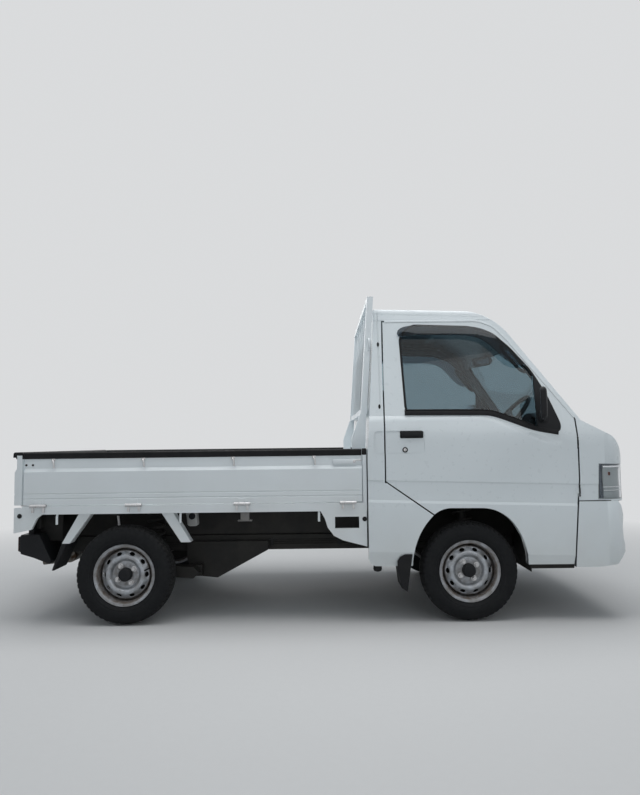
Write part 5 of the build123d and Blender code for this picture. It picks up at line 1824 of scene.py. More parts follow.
def plateForms(look, middle, out):
    # blank plate with its raised rim, two bolts and a plain black holder
    out = Vector(out).normalized()
    side = Vector((0, 1, 0))
    up = side.cross(out) * -1
    if up.z < 0:
        up = -up
    place = lambda u, v, w: Vector(middle) + side * u + up * v + out * w
    sheet = plateForm(
        roundedOutline(look["width"], look["height"], look["corner"]), place, look["thick"], 0.0004
    )
    rim = [
        place(u, v, look["thick"])
        for u, v in roundedOutline(look["width"] - 0.008, look["height"] - 0.008, look["corner"] - 0.003)
    ]
    edge = sweepForm(rim, out, boxSection(0.0045, 0.0012, 0.0005), True)
    head = [(0, 0), (0, 0.008), (0.002, 0.008), (0.0035, 0.0055), (0.0035, 0)]
    bolts = [lathedForm(head, place(x, 0.058, look["thick"]), out, 18) for x in (-0.105, 0.105)]
    holderPlace = lambda u, v, w: place(u, v, w - 0.005)
    holder = plateForm(
        roundedOutline(look["width"] + 0.012, look["height"] + 0.010, look["corner"]),
        holderPlace, 0.0045, 0.001,
    )
    return [sheet, edge], bolts, [holder]


# headlamps: reflector bowls, bulbs and grey bezel in the hollow housings

lampForm = {"beam": (0.560, 0.775), "turn": (0.600, 0.692)}


def lampReflectors(look):
    forms = []
    for (y, z), width in ((look["beam"], 0.060), (look["turn"], 0.032)):
        middle = frontPoint(-y, z, -0.036)
        axis = Vector((1, -0.10, 0)).normalized()
        bowl = [(0.0005, 0.008), (0.003, width * 0.35), (0.009, width * 0.62), (0.018, width * 0.86),
                (0.027, width), (0.0285, width),
                (0.0205, width * 0.88), (0.010, width * 0.64), (0.002, width * 0.36), (-0.001, 0.008)]
        forms.append(lathedForm(bowl + [bowl[0]], middle, axis, 48))
    return forms


def lampBezel():
    # stepped bands that fill the housing round the bowls
    forms = []
    for z, width in ((0.839, 0.012), (0.731, 0.010), (0.659, 0.010)):
        line = [frontPoint(-0.445 - 0.245 * i / 10, z, -0.030) for i in range(9)]
        forms.append(frontStrip(line, boxSection(width, 0.016, 0.003)))
    return forms


def lampOutline(inset, turn):
    # point on the lens line at a turn round the corner: 0 faces the side, 90 the front
    angle = math.radians(turn)
    reach = noseBow["cornerRadius"] - inset
    x, y = noseBow["cornerX"] + reach * math.sin(angle), noseBow["cornerY"] - reach * math.cos(angle)
    return min(x, noseBow["axis"] + math.sqrt((noseBow["radius"] - inset) ** 2 - y * y)), y


def lensLine(start, inset, z):
    # line behind the lens, from its rear edge round the corner, with the way that each point faces
    line, outs = [Vector(start)], [Vector((0, -1, 0))]
    for turn in range(0, 64, 7):
        angle = math.radians(turn)
        line.append(Vector((*lampOutline(inset, turn), z)))
        outs.append(Vector((math.sin(angle), -math.cos(angle), 0)))
    return line, outs


linerForm = {
    "rows": [(0.654, 0.017), (0.660, 0.0130), (0.694, 0.0130), (0.697, 0.0092), (0.701, 0.0092),
             (0.704, 0.0140), (0.711, 0.0140), (0.714, 0.0095),
             (0.7185, 0.0095), (0.7215, 0.0140), (0.770, 0.0150), (0.806, 0.0145), (0.818, 0.0120),
             (0.823, 0.0092), (0.833, 0.0092), (0.839, 0.017)],
    "turns": [0, 8, 16, 24, 32, 40, 48, 56, 63],
    "thick": 0.0018,
}


def lampLiner(look):
    # stepped silver liner that follows the lens round the corner
    form = bmesh.new()
    rows = []
    for z, inset in look["rows"]:
        row = [form.verts.new((1.536, -0.7376 + inset, z))]
        row += [form.verts.new((*lampOutline(inset, turn), z)) for turn in look["turns"]]
        rows.append(row)
    skinRows(form, rows)
    bmesh.ops.recalc_face_normals(form, faces=form.faces)
    if sum(face.normal.y for face in form.faces) > 0:
        bmesh.ops.reverse_faces(form, faces=form.faces)
    bmesh.ops.solidify(form, geom=list(form.faces), thickness=look["thick"])
    return [form]


def lampLines():
    # bright edges of the liner's steps
    forms = []
    for z, tall in ((0.6990, 0.0032), (0.7165, 0.0036), (0.8280, 0.0085)):
        line, outs = lensLine((1.537, -0.7376 + 0.0088, z), 0.0088, z)
        forms.append(sweepForm(line, outs, boxSection(tall, 0.0016, 0.0004, -0.0008)))
    return forms


def lampFrames():
    # dark upright at the lens's rear edge and dark band over its top, both behind the lens
    upright = [
        (1.5135, 0.652), (1.5365, 0.652), (1.5365, 0.700), (1.5310, 0.722), (1.5310, 0.842), (1.5135, 0.842)
    ]
    rear = plateForm(upright, lambda u, v, w: Vector((u, -0.7290 + w, v)), 0.012, 0.002)
    line, outs = lensLine((1.5220, -0.7290, 0.8385), 0.0085, 0.8385)
    top = sweepForm(line, outs, boxSection(0.0075, 0.0080, 0.0015, -0.0080))
    return [rear, top]


def lampBulbs(look):
    beamY, beamZ = look["beam"]
    turnY, turnZ = look["turn"]
    axis = Vector((1, -0.10, 0)).normalized()
    glass = lathedForm(
        [(0, 0), (0, 0.006), (0.010, 0.007), (0.020, 0.006), (0.026, 0.003), (0.027, 0)],
        frontPoint(-beamY, beamZ, -0.034), axis, 18,
    )
    cap = lathedForm(
        [(0, 0), (0, 0.013), (0.004, 0.013), (0.005, 0.008), (0.005, 0)], frontPoint(-beamY, beamZ, -0.0355),
        axis, 20,
    )
    amber = lathedForm(
        [(0, 0), (0, 0.008), (0.008, 0.011), (0.016, 0.010), (0.022, 0.005), (0.023, 0)],
        frontPoint(-turnY, turnZ, -0.034), axis, 18,
    )
    side = plateForm(
        roundedOutline(0.011, 0.019, 0.0052), lambda u, v, w: Vector((1.5725 + u, -0.7215 - w, 0.789 + v)),
        0.0045, 0.0018, 3,
    )
    return [glass, cap], [amber], [side]


arms, blades = wiperForms(wiper)
frontSheet, frontBolts, frontHolder = plateForms(plate, (1.6925, 0.0, 0.560), (1, 0, 0))
rearSheet, rearBolts, rearHolder = plateForms(plate, (-1.6560, 0.0, 0.478), (-1, 0, 0))
frontPieces = {
    "screenSeal": (screenSeal(screenEdge), blackRubber, "black_rubber"),
    "rearWindowSeal": (rearSeal(rearGlass), blackRubber, "black_rubber"),
    "wiperArms": (arms, blackPlastic, "black_plastic"),
    "wiperBlades": (blades, blackRubber, "black_rubber"),
    "cowlStrip": (cowlStrip(), blackPlastic, "black_plastic"),
    "washerJets": (washerJets(), blackPlastic, "black_plastic"),
    "grille": (grilleForms(noseTrim), blackPlastic, "black_plastic"),
    "intake": (intakeForms(noseTrim), blackPlastic, "black_plastic"),
    "frontPlate": (frontSheet, plateBlank, "white_paint"),
    "frontPlateBolts": (frontBolts, zincSteel, "bright_steel"),
    "frontPlateHolder": (frontHolder, blackPlastic, "black_plastic"),
    "rearPlate": (rearSheet, plateBlank, "white_paint"),
    "rearPlateBolts": (rearBolts, zincSteel, "bright_steel"),
    "rearPlateHolder": (rearHolder, blackPlastic, "black_plastic"),
}
addAll(frontPieces)
clearBulb, amberBulb, sideBulb = lampBulbs(lampForm)
lampPieces = {
    "lampReflectors": (lampReflectors(lampForm), mirrorChrome, "bright_steel"),
    "lampBezel": (lampBezel(), lampGrey, "grey_plastic"),
    "lampLiner": (lampLiner(linerForm), lampGrey, "grey_plastic"),
    "lampLines": (lampLines(), mirrorChrome, "bright_steel"),
    "lampFrames": (lampFrames(), lampFrame, "grey_plastic"),
    "lampBulb": (clearBulb, lampClear, "lamp_clear"),
    "sideBulb": (sideBulb, bulbAmber, "lamp_clear"),
    "turnBulb": (amberBulb, lampAmber, "lamp_clear"),
}
for name, (forms, finish, slotName) in lampPieces.items():
    addPair(name, forms, finish, "truck", slotName)
print("front dressed")

# tail lamps: three ribbed panes on each hood, with a dark frame

tailForm = {
    "x": -1.6725, "low": 0.397, "high": 0.477,
    "panes": ((0.441, 0.503, "clear"), (0.506, 0.588, "amber"), (0.591, 0.657, "red")),
}


def tailPane(look, near, far):
    # lens that stands proud of the hood, with its rim rolled back
    z0, z1 = look["low"], look["high"]
    place = lambda u, v, w: Vector((look["x"] - w, -(near + far) / 2 + u, (z0 + z1) / 2 + v))
    lens = plateForm(roundedOutline(far - near, z1 - z0, 0.006), place, 0.008, 0.003, 3)
    ribs = []
    for i in range(6):
        v = (i - 2.5) * (z1 - z0) / 7
        a, b = place(-(far - near) * 0.42, v, 0.0075), place((far - near) * 0.42, v, 0.0075)
        ribs.append(
            barForm(
                a, b, Vector((-1, 0, 0)), [(-0.003, 0.0), (-0.0015, 0.0014), (0.0015, 0.0014), (0.003, 0.0)]
            )
        )
    return [lens, *ribs]


tailFinishes = {
    "clear": (lampClear, "lamp_clear"), "amber": (lampAmber, "lamp_red"), "red": (lampRed, "lamp_red")
}
for near, far, kind in tailForm["panes"]:
    finish, slotName = tailFinishes[kind]
    addPair(f"tailPane_{kind}", tailPane(tailForm, near, far), finish, "truck", slotName)


def plateLamp():
    hood = blockForm((-1.672, -0.045, 0.566), (-1.640, 0.045, 0.588), 0.005, 3)
    arm = blockForm((-1.650, -0.020, 0.570), (-1.632, 0.020, 0.612), 0.003)
    bracket = blockForm((-1.6515, -0.120, 0.420), (-1.6480, 0.120, 0.610), 0.001)
    return [hood, arm, bracket]


addPiece("plateLamp", plateLamp(), blackPlastic, "truck", "black_plastic")
print("rear dressed")

# bed: ribs on the deck, headboard and inner gate faces, end caps, latches

bedRibs = {
    "deck": 0.650, "rear": -1.600, "front": 0.140, "count": 8, "pitch": 0.160, "width": 0.046,
    "height": 0.007,
    "bolts": (-1.55, -1.10, -0.65, -0.20, 0.13),
    "board": (0.712, 0.790, 0.868),
    "sideGate": (-1.500, -1.150, -0.800, -0.450, -0.100, 0.150),
    "tailGate": (-0.540, -0.270, 0.0, 0.270, 0.540),
    "gateFoot": 0.676, "gateTop": 0.896,
}


def pressedRib(start, end, out, width, height):
    # rounded rib whose ends run out
    a, b = Vector(start), Vector(end)
    out = Vector(out)
    length = (b - a).length
    form = bmesh.new()
    side = (b - a).normalized().cross(out)
    rings = []
    across = [(-0.5, -0.001), (-0.42, 0.35), (-0.30, 0.85), (-0.18, 1.0)]
    ends = [(0.0, 0.0), (0.010, 0.45), (0.020, 0.85), (0.032, 1.0)]
    for t, rise in ends + [(length - t, rise) for t, rise in reversed(ends)]:
        middle = a + (b - a).normalized() * t
        ring = []
        for u, v in across + [(-u, v) for u, v in reversed(across)]:
            ring.append(form.verts.new(middle + side * (u * width) + out * (v * height * rise - 0.0004)))
        rings.append(ring)
    skinRows(form, rings)
    bmesh.ops.recalc_face_normals(form, faces=form.faces)
    if sum((face.normal.dot(out) for face in form.faces)) < 0:
        bmesh.ops.reverse_faces(form, faces=form.faces)
    return form


def deckForms(look):
    ribs = []
    for k in range(look["count"]):
        y = (k - (look["count"] - 1) / 2) * look["pitch"]
        start, end = (look["rear"], y, look["deck"]), (look["front"], y, look["deck"])
        ribs.append(pressedRib(start, end, (0, 0, 1), look["width"], look["height"]))
    bolts = []
    for x in look["bolts"]:
        for k in range(look["count"] - 1):
            y = (k - (look["count"] - 2) / 2) * look["pitch"]
            bolts.append(boltHead((x, y, look["deck"]), (0, 0, 1), 0.008))
    board = [
        pressedRib((0.2258, -0.640, z), (0.2258, 0.640, z), (-1, 0, 0), 0.034, 0.006) for z in look["board"]
    ]
    return ribs + board, bolts


def sideGateRibs(look):
    foot, top = look["gateFoot"], look["gateTop"]
    return [
        pressedRib((x, -0.6830, foot), (x, -0.6830, top), (0, 1, 0), 0.040, 0.006) for x in look["sideGate"]
    ]


def tailGateRibs(look):
    foot, top = look["gateFoot"], look["gateTop"]
    return [
        pressedRib((-1.6405, y, foot), (-1.6405, y, top), (1, 0, 0), 0.040, 0.005) for y in look["tailGate"]
    ]


def capForms():
    # thick rubber over the tail gate's top and over the headboard's corners
    tail = plateForm([
        (-1.6970, 0.914), (-1.6955, 0.936), (-1.690, 0.943), (-1.645, 0.944), (-1.6375, 0.938),
        (-1.6360, 0.912),
    ], lambda u, v, w: Vector((u, -0.702 + w, v)), 1.404, 0.002, 2)
    corners = []
    for side in (-1, 1):
        y0, y1 = sorted((side * 0.6835, side * 0.7175))
        corners.append(blockForm((0.2225, y0, 0.906), (0.2475, y1, 0.9435), 0.006, 3))
    return [tail], corners


def tailLatch(side):
    # over-centre lever at each corner of the tail gate, hooked to the side gate's end
    y = side * 0.640
    plate = plateForm(
        roundedOutline(0.066, 0.046, 0.008), lambda u, v, w: Vector((-1.6803 - w, y + u, 0.850 + v)),
        0.003, 0.001,
    )
    lever = softened([
        (-1.6850, y + side * 0.020, 0.850), (-1.6900, y - side * 0.020, 0.848),
        (-1.6890, y - side * 0.110, 0.842),
    ], 0.02, 4)
    bar = sweepForm(lever, Vector((-1, 0, 0)), boxSection(0.020, 0.006, 0.002, -0.003))
    pivot = boltHead((-1.6833, y + side * 0.018, 0.850), (-1, 0, 0), 0.009)
    return [plate, bar], [pivot]


def guardHook():
    # rope hook welded to the guard's post, behind the door's pillar
    line = softened([
        (0.276, -0.640, 1.560), (0.276, -0.655, 1.560), (0.276, -0.662, 1.535), (0.276, -0.655, 1.500),
        (0.276, -0.640, 1.500),
    ], 0.012, 4)
    return [tubeForm(line, 0.0050)]


deckRibs, deckBolts = deckForms(bedRibs)
tailCap, cornerCaps = capForms()
latchRight, pivotRight = tailLatch(-1)
latchLeft, pivotLeft = tailLatch(1)
hooks = guardHook()
bedDressing = {
    "deckRibs": (deckRibs, bedWhite, "truck", "bed_paint"),
    "deckBolts": (deckBolts, zincSteel, "truck", "bright_steel"),
    "sideGateRibs_right": (sideGateRibs(bedRibs), bedWhite, "side_gate_right", "bed_paint"),
    "sideGateRibs_left": (
        [mirrored(form) for form in sideGateRibs(bedRibs)], bedWhite, "side_gate_left", "bed_paint"
    ),
    "tailGateRibs": (tailGateRibs(bedRibs), bedWhite, "tail_gate", "bed_paint"),
    "tailCap": (tailCap, blackRubber, "tail_gate", "black_rubber"),
    "cornerCaps": (cornerCaps, blackRubber, "truck", "black_rubber"),
    "tailLatches": (latchRight + latchLeft, bedWhite, "tail_gate", "bed_paint"),
    "tailLatchPivots": (pivotRight + pivotLeft, zincSteel, "tail_gate", "bright_steel"),
    "guardHooks": (hooks + [mirrored(form.copy()) for form in hooks], bedWhite, "truck", "bed_paint"),
}
for name, (forms, finish, body, slotName) in bedDressing.items():
    addPiece(name, forms, finish, body, slotName)
print("bed ribs and latches ready")

# underside: springs, dampers, drive shafts, gearbox, exhaust pipe, pipes along the rails, rear beam

underForm = {
    "spring": {
        "x": -0.960, "y": 0.480, "low": 0.296, "high": 0.584, "radius": 0.046, "wire": 0.0065, "turns": 6.5
    },
    "strutSpring": {
        "low": (0.803, 0.5425, 0.400), "high": (0.803, 0.5140, 0.618), "radius": 0.052, "wire": 0.0060,
        "turns": 4.5,
    },
}


def coilForm(low, high, radius, wire, turns):
    low, high = Vector(low), Vector(high)
    axis = (high - low).normalized()
    across = axis.orthogonal().normalized()
    third = axis.cross(across)
    steps = int(turns * 24)
    line, outs = [], []
    for i in range(steps + 1):
        share = i / steps
        turn = 2 * math.pi * turns * share
        out = across * math.cos(turn) + third * math.sin(turn)
        line.append(low.lerp(high, share) + out * radius)
        outs.append(out)
    return sweepForm(line, outs, roundSection(wire, 8))


def rearSuspension(look):
    # right side: coil on the trailing arm under its bracket, and the damper behind it
    s = look["spring"]
    coil = coilForm(
        (s["x"], -s["y"], s["low"]), (s["x"], -s["y"], s["high"]), s["radius"], s["wire"], s["turns"]
    )
    seat = blockForm((s["x"] - 0.060, -0.540, 0.585), (s["x"] + 0.060, -0.3505, 0.5965), 0.003)
    pan = lathedForm(
        [(0, 0), (0, 0.058), (0.004, 0.058), (0.007, 0.040), (0.007, 0)], (s["x"], -s["y"], 0.2885),
        (0, 0, 1), 32,
    )
    foot, top = Vector((-1.150, -0.480, 0.305)), Vector((-1.185, -0.480, 0.585))
    body = tubeForm([foot, foot.lerp(top, 0.3), foot.lerp(top, 0.58)], 0.021, 20)
    rod = tubeForm([foot.lerp(top, 0.55), foot.lerp(top, 0.8), top], 0.0075, 14)
    hanger = blockForm((-1.225, -0.510, 0.570), (-1.150, -0.3505, 0.598), 0.003)
    return [seat, pan, body, hanger], [coil], [rod]


def strutCoil(look):
    s = look["strutSpring"]
    low, high = ((x, -y, z) for x, y, z in (s["low"], s["high"]))
    axis = (Vector(high) - Vector(low)).normalized()
    plate = lathedForm(
        [(-0.004, 0.0225), (-0.004, 0.060), (0.0, 0.062), (0.002, 0.056), (0.0005, 0.0225)], low, axis, 32
    )
    return [coilForm(low, high, s["radius"], s["wire"], s["turns"])], [plate]


def driveLine():
    # gearbox with its ribs ahead of the engine, half shafts with their boots
    profile = [(0, 0), (0, 0.085), (0.018, 0.105), (0.050, 0.108), (0.056, 0.116), (0.064, 0.116),
               (0.070, 0.100), (0.125, 0.094),
               (0.150, 0.080), (0.170, 0.050), (0.205, 0.040), (0.210, 0)]
    box = lathedForm(profile, (-1.168, -0.010, 0.330), (1, 0, 0), 32)
    sump = blockForm((-1.150, -0.085, 0.235), (-1.020, 0.075, 0.330), 0.016, 3)
    shafts = []
    axle = axleCentres["rear"][0]
    for side in (-1, 1):
        a, b = Vector((axle, side * 0.080, 0.285)), Vector((axle, side * 0.430, wheelHeight))
        shafts.append(tubeForm([a, a.lerp(b, 0.5), b], 0.0125, 16))
        for start, sign in ((a, 1), (b, -1)):
            toward = (b - a).normalized() * sign
            boot = [(0, 0.0), (0, 0.040)]
            for k in range(5):
                boot += [(0.008 + 0.013 * k, 0.040 - 0.0045 * k), (0.0145 + 0.013 * k, 0.033 - 0.0045 * k)]
            boot += [(0.082, 0.0145), (0.086, 0.0)]
            shafts.append(lathedForm(boot, start, toward, 28))
    return [box, sump], shafts


def exhaustPipe():
    line = softened([
        (-1.230, 0.296, 0.330), (-1.235, 0.330, 0.300), (-1.400, 0.330, 0.268), (-1.500, 0.300, 0.280),
        (-1.545, 0.254, 0.295),
    ], 0.05, 6)
    tail = softened(
        [(-1.560, -0.252, 0.300), (-1.560, -0.290, 0.296), (-1.600, -0.318, 0.290), (-1.668, -0.322, 0.284)],
        0.035, 6,
    )
    wall = [(0, 0.0185), (0, 0.0150), (-0.020, 0.0150), (-0.020, 0.0185)]
    mouth = lathedForm(wall + [wall[0]], (-1.674, -0.3223, 0.2835), (-1, 0, -0.08), 28)
    return [tubeForm(line, 0.019, 18), tubeForm(tail, 0.018, 18), mouth]


def pipeRuns():
    # brake and fuel pipes along the right rail, with their clips
    forms, clips = [], []
    for z in (0.378, 0.390, 0.402):
        run = ((-1.02, 0), (-0.60, 0), (0.40, 0), (1.05, 0), (1.12, 0.03), (1.30, 0.03))
        line = softened([(x, -0.3625, z + rise) for x, rise in run], 0.04, 4)
        forms.append(tubeForm(line, 0.0028, 8))
    for x in (-0.30, 0.10, 0.38):
        clips.append(blockForm((x - 0.010, -0.3680, 0.370), (x + 0.010, -0.3600, 0.410), 0.002))
    return forms, clips


def rearBeam():
    # cross beam behind the wheels, tow eye, and brackets that carry the lamp hoods
    beam = blockForm((-1.612, -0.600, 0.512), (-1.578, 0.600, 0.6025), 0.004)
    ring = [Vector((-1.640 + u, -0.250, 0.440 + v)) for u, v in roundSection(0.024, 24)]
    eye = sweepForm(ring, Vector((0, 1, 0)), roundSection(0.0065, 10), True)
    eyeFoot = blockForm((-1.622, -0.262, 0.430), (-1.560, -0.238, 0.515), 0.003)
    stays = [
        blockForm((-1.628, side * 0.545 - 0.020, 0.470), (-1.600, side * 0.545 + 0.020, 0.600), 0.003)
        for side in (-1, 1)
    ]
    stays += [
        blockForm((-1.600, side * 0.560 - 0.003, 0.440), (-1.470, side * 0.560 + 0.003, 0.600), 0.002)
        for side in (-1, 1)
    ]
    return [beam, eye, eyeFoot, *stays]


def sideBrackets():
    # small grey hanger between the wheels
    hanger = blockForm((-0.455, -0.640, 0.545), (-0.405, -0.612, 0.6025), 0.004)
    lip = blockForm((-0.470, -0.640, 0.545), (-0.390, -0.600, 0.552), 0.002)
    return [hanger, lip]


def reservoirForms():
    # pale tank and its cap, beside the hanger
    tank = plateForm(
        roundedOutline(0.060, 0.090, 0.016),
        lambda u, v, w: Vector((-0.742 + u - v * 0.12, -0.560 + w, 0.556 + v)), 0.070, 0.010, 3,
    )
    cap = lathedForm(
        [(0, 0), (0, 0.018), (0.010, 0.018), (0.013, 0.014), (0.013, 0)], (-0.735, -0.575, 0.5705),
        (-0.1, -1, 0), 24,
    )
    return [tank], [cap]


def radiatorForms():
    core = blockForm((1.408, -0.270, 0.352), (1.448, 0.270, 0.4650), 0.006)
    fins = [
        blockForm((1.4475, -0.262, 0.360 + 0.0095 * k), (1.4515, 0.262, 0.3625 + 0.0095 * k), 0.0005)
        for k in range(11)
    ]
    return [core, *fins]


rearBlack, rearCoils, damperRods = rearSuspension(underForm)
strutCoils, strutPans = strutCoil(underForm)
gearBox, halfShafts = driveLine()
pipes, pipeClips = pipeRuns()
paleTank, tankCap = reservoirForms()
bothSides = {
    "rearSuspension": (rearBlack, chassisBlack, "truck", "dark_steel"),
    "rearCoils": (rearCoils, chassisBlack, "truck", "dark_steel"),
    "damperRods": (damperRods, zincSteel, "truck", "bright_steel"),
    "strutCoils": (strutCoils, chassisBlack, "knuckle", "dark_steel"),
    "strutPans": (strutPans, chassisBlack, "knuckle", "dark_steel"),
}
for name, details in bothSides.items():
    addPair(name, *details)
underPieces = {
    "gearBox": (gearBox, engineMetal, "cast_metal"),
    "halfShafts": (halfShafts, blackRubber, "black_rubber"),
    "exhaustPipe": (exhaustPipe(), pipeSteel, "cast_metal"),
    "pipeRuns": (pipes, chassisBlack, "dark_steel"),
    "pipeClips": (pipeClips, blackPlastic, "black_plastic"),
    "rearBeam": (rearBeam(), chassisBlack, "dark_steel"),
    "sideHanger": (sideBrackets(), engineMetal, "cast_metal"),
    "reservoir": (paleTank, cabinLight, "grey_plastic"),
    "reservoirCap": (tankCap, blackPlastic, "black_plastic"),
    "radiator": (radiatorForms(), chassisBlack, "dark_steel"),
}
addAll(underPieces)
print("underside dressed")

# cabin: padded seats, belts, console, pedals, dash fittings

seatForm = {
    "middles": {"right": -0.355, "left": 0.355},
    "half": 0.228,
    "cushion": {"low": (0.590, 0.706), "high": (1.012, 0.788), "cap": 0.020, "voxel": 0.010},
    "back": {"foot": (0.566, 0.838), "top": (0.384, 1.312), "thick": 0.082, "cap": 0.020, "voxel": 0.010},
    "waist": 0.018,
}


def roundedSlab(place, size, corner):
    # closed block of width, depth and length with soft corners; place turns the three into a point
    form = bmesh.new()
    bmesh.ops.create_cube(form, size=1.0)
    for vert in form.verts:
        vert.co = Vector((vert.co.x * size[0], vert.co.y * size[1], vert.co.z * size[2]))
    bmesh.ops.bevel(
        form, geom=list(form.edges), offset=corner, segments=4, profile=0.5, affect="EDGES",
        clamp_overlap=True,
    )
    for vert in form.verts:
        vert.co = place(*vert.co)
    bmesh.ops.recalc_face_normals(form, faces=form.faces)
    return form


def cushionForm(look, middle):
    part = look["cushion"]
    (x0, z0), (x1, z1) = part["low"], part["high"]

    def place(u, v, w):
        pinch = 1 - look["waist"] * 2 * math.cos(math.pi * v / (x1 - x0))
        crown = 0.010 * math.cos(math.pi * u / (2.4 * look["half"])) if w > 0 else 0.0
        bolster = 0.014 * max(0.0, abs(u) / look["half"] - 0.62) if w > 0 else 0.0
        return Vector(((x0 + x1) / 2 + v, middle + u * pinch, (z0 + z1) / 2 + w + crown + bolster))

    return roundedSlab(place, (2 * look["half"], x1 - x0, z1 - z0), 0.026)


def backForm(look, middle):
    part = look["back"]
    foot, top = Vector((part["foot"][0], 0, part["foot"][1])), Vector((part["top"][0], 0, part["top"][1]))
    up = (top - foot).normalized()
    face = Vector((up.z, 0, -up.x))
    length = (top - foot).length

    def place(u, v, w):
        # narrower and thinner towards the head rest, which is one with the back
        share = (w / length) + 0.5
        rise = min(1.0, max(0.0, (share - 0.62) / 0.22))
        narrow = 1 - 0.50 * rise ** 2 * (3 - 2 * rise)
        thin = 1 - 0.18 * share
        return foot.lerp(top, share) + Vector((0, middle + u * narrow, 0)) + face * (v * thin)

    form = roundedSlab(lambda u, v, w: Vector((u, v, w)), (2 * look["half"], part["thick"], length), 0.026)
    for cut in (0.06, 0.10, 0.13, 0.16, 0.19):
        geometry = form.verts[:] + form.edges[:] + form.faces[:]
        bmesh.ops.bisect_plane(form, geom=geometry, plane_co=(0, 0, cut), plane_no=(0, 0, 1))
    for vert in form.verts:
        vert.co = place(*vert.co)
    bmesh.ops.recalc_face_normals(form, faces=form.faces)
    return form


def swelled(piece, part):
    # voxel remesh, pressure, and a cap on how far a point may move
    remesh = piece.modifiers.new("evenMesh", "REMESH")
    remesh.mode = "VOXEL"
    remesh.voxel_size = part["voxel"]
    applied(piece, "evenMesh")
    start = [v.co.copy() for v in piece.data.vertices]
    cloth = piece.modifiers.new("swell", "CLOTH")
    cloth.settings.use_pressure = True
    cloth.settings.uniform_pressure_force = 4.0
    cloth.settings.effector_weights.gravity = 0.0
    cloth.settings.quality = 4
    for step in range(1, 21):
        scene.frame_set(step)
    graph = bpy.context.evaluated_depsgraph_get()
    moved = [v.co.copy() for v in piece.evaluated_get(graph).data.vertices]
    piece.modifiers.remove(cloth)
    for vert, before, after in zip(piece.data.vertices, start, moved):
        shift = after - before
        if shift.length > part["cap"]:
            shift = shift.normalized() * part["cap"]
        vert.co = before + shift
    scene.frame_set(1)


def applied(piece, modifierName):
    graph = bpy.context.evaluated_depsgraph_get()
    mesh = bpy.data.meshes.new_from_object(piece.evaluated_get(graph))
    piece.modifiers.remove(piece.modifiers[modifierName])
    finish = piece.data.materials[0]
    piece.data = mesh
    mesh.materials.clear()
    mesh.materials.append(finish)


def softSeat(name, form, part, node):
    mesh = bpy.data.meshes.new(name)
    form.to_mesh(mesh)
    form.free()
    mesh.materials.append(seatCloth)
    piece = bpy.data.objects.new(name, mesh)
    scene.collection.objects.link(piece)
    swelled(piece, part)
    smooth = piece.modifiers.new("smooth", "SUBSURF")
    smooth.levels = smooth.render_levels = 1
    applied(piece, "smooth")
    for face in piece.data.polygons:
        face.use_smooth = True
    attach(piece, "truck")
    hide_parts(node)
    return piece


for side, middle in seatForm["middles"].items():
    softSeat(f"seatCushion_{side}", cushionForm(seatForm, middle), seatForm["cushion"], "seat_cushions")
    softSeat(f"seatBack_{side}", backForm(seatForm, middle), seatForm["back"], "seat_backs")
print("seats padded")

cabinForm = {
    "pedals": {"clutch": -0.455, "brake": -0.345, "throttle": -0.235},
    "console": {"low": (0.600, -0.090, 0.690), "high": (1.150, 0.090, 0.742)},
    "lever": (0.980, 0.0),
    "brakeLever": (0.760, -0.040),
    "sides": {"right": -1, "left": 1},
}


def seatRails(side):
    # steel runners under a cushion and the recliner covers
    middle = side * seatForm["middles"]["left"]
    rails = [
        blockForm((0.600, middle + u - 0.014, 0.6902), (1.010, middle + u + 0.014, 0.7040), 0.003)
        for u in (-0.160, 0.160)
    ]
    covers = []
    for u in (-0.240, 0.240):
        place = lambda a, b, w: Vector((0.560 + a, middle + u + (w if u < 0 else -w) - 0.008, 0.800 + b))
        covers.append(plateForm([
            (-0.050, -0.085), (0.060, -0.085), (0.075, -0.060), (0.020, 0.000), (0.000, 0.062),
            (-0.040, 0.066),
        ], place, 0.014, 0.005, 3))
    return rails, covers


def beltForms(side):
    # webbing from the pillar guide to the reel, its guide, cover and tongue, and the buckle by the console
    y = side * 0.655
    guide = Vector((0.430, side * 0.632, 1.452))
    reel = Vector((0.420, side * 0.662, 0.800))
    line = [
        guide + (reel - guide) * (s / 14) + Vector((0.010 * math.sin(math.pi * s / 14), 0, 0))
        for s in range(15)
    ]
    web = sweepForm(line, Vector((0.15, -side, 0)).normalized(), boxSection(0.046, 0.0016, 0.0004))
    guidePlate = lathedForm(
        [(-0.006, 0), (-0.006, 0.026), (0.004, 0.028), (0.010, 0.020), (0.010, 0)],
        guide + Vector((0, side * 0.006, 0)), (0, -side, 0), 28,
    )
    cover = plateForm(
        roundedOutline(0.110, 0.150, 0.026),
        lambda u, v, w: Vector((0.425 + u, y + side * 0.022 - side * w, 0.790 + v)), 0.044, 0.010, 3,
    )
    tongue = blockForm(
        line[9] - Vector((0.030, 0.006, 0.022)), line[9] + Vector((0.030, 0.006, 0.022)), 0.005, 3
    )
    stalkFoot, stalkTop = Vector((0.640, side * 0.098, 0.720)), Vector((0.660, side * 0.100, 0.845))
    stalk = tubeForm([stalkFoot, stalkFoot.lerp(stalkTop, 0.5), stalkTop], 0.008)
    buckle = plateForm(
        roundedOutline(0.034, 0.080, 0.008), lambda u, v, w: stalkTop + Vector((u, (w - 0.010), v + 0.012)),
        0.020, 0.005, 3,
    )
    return [web], [guidePlate, cover, tongue, stalk, buckle]


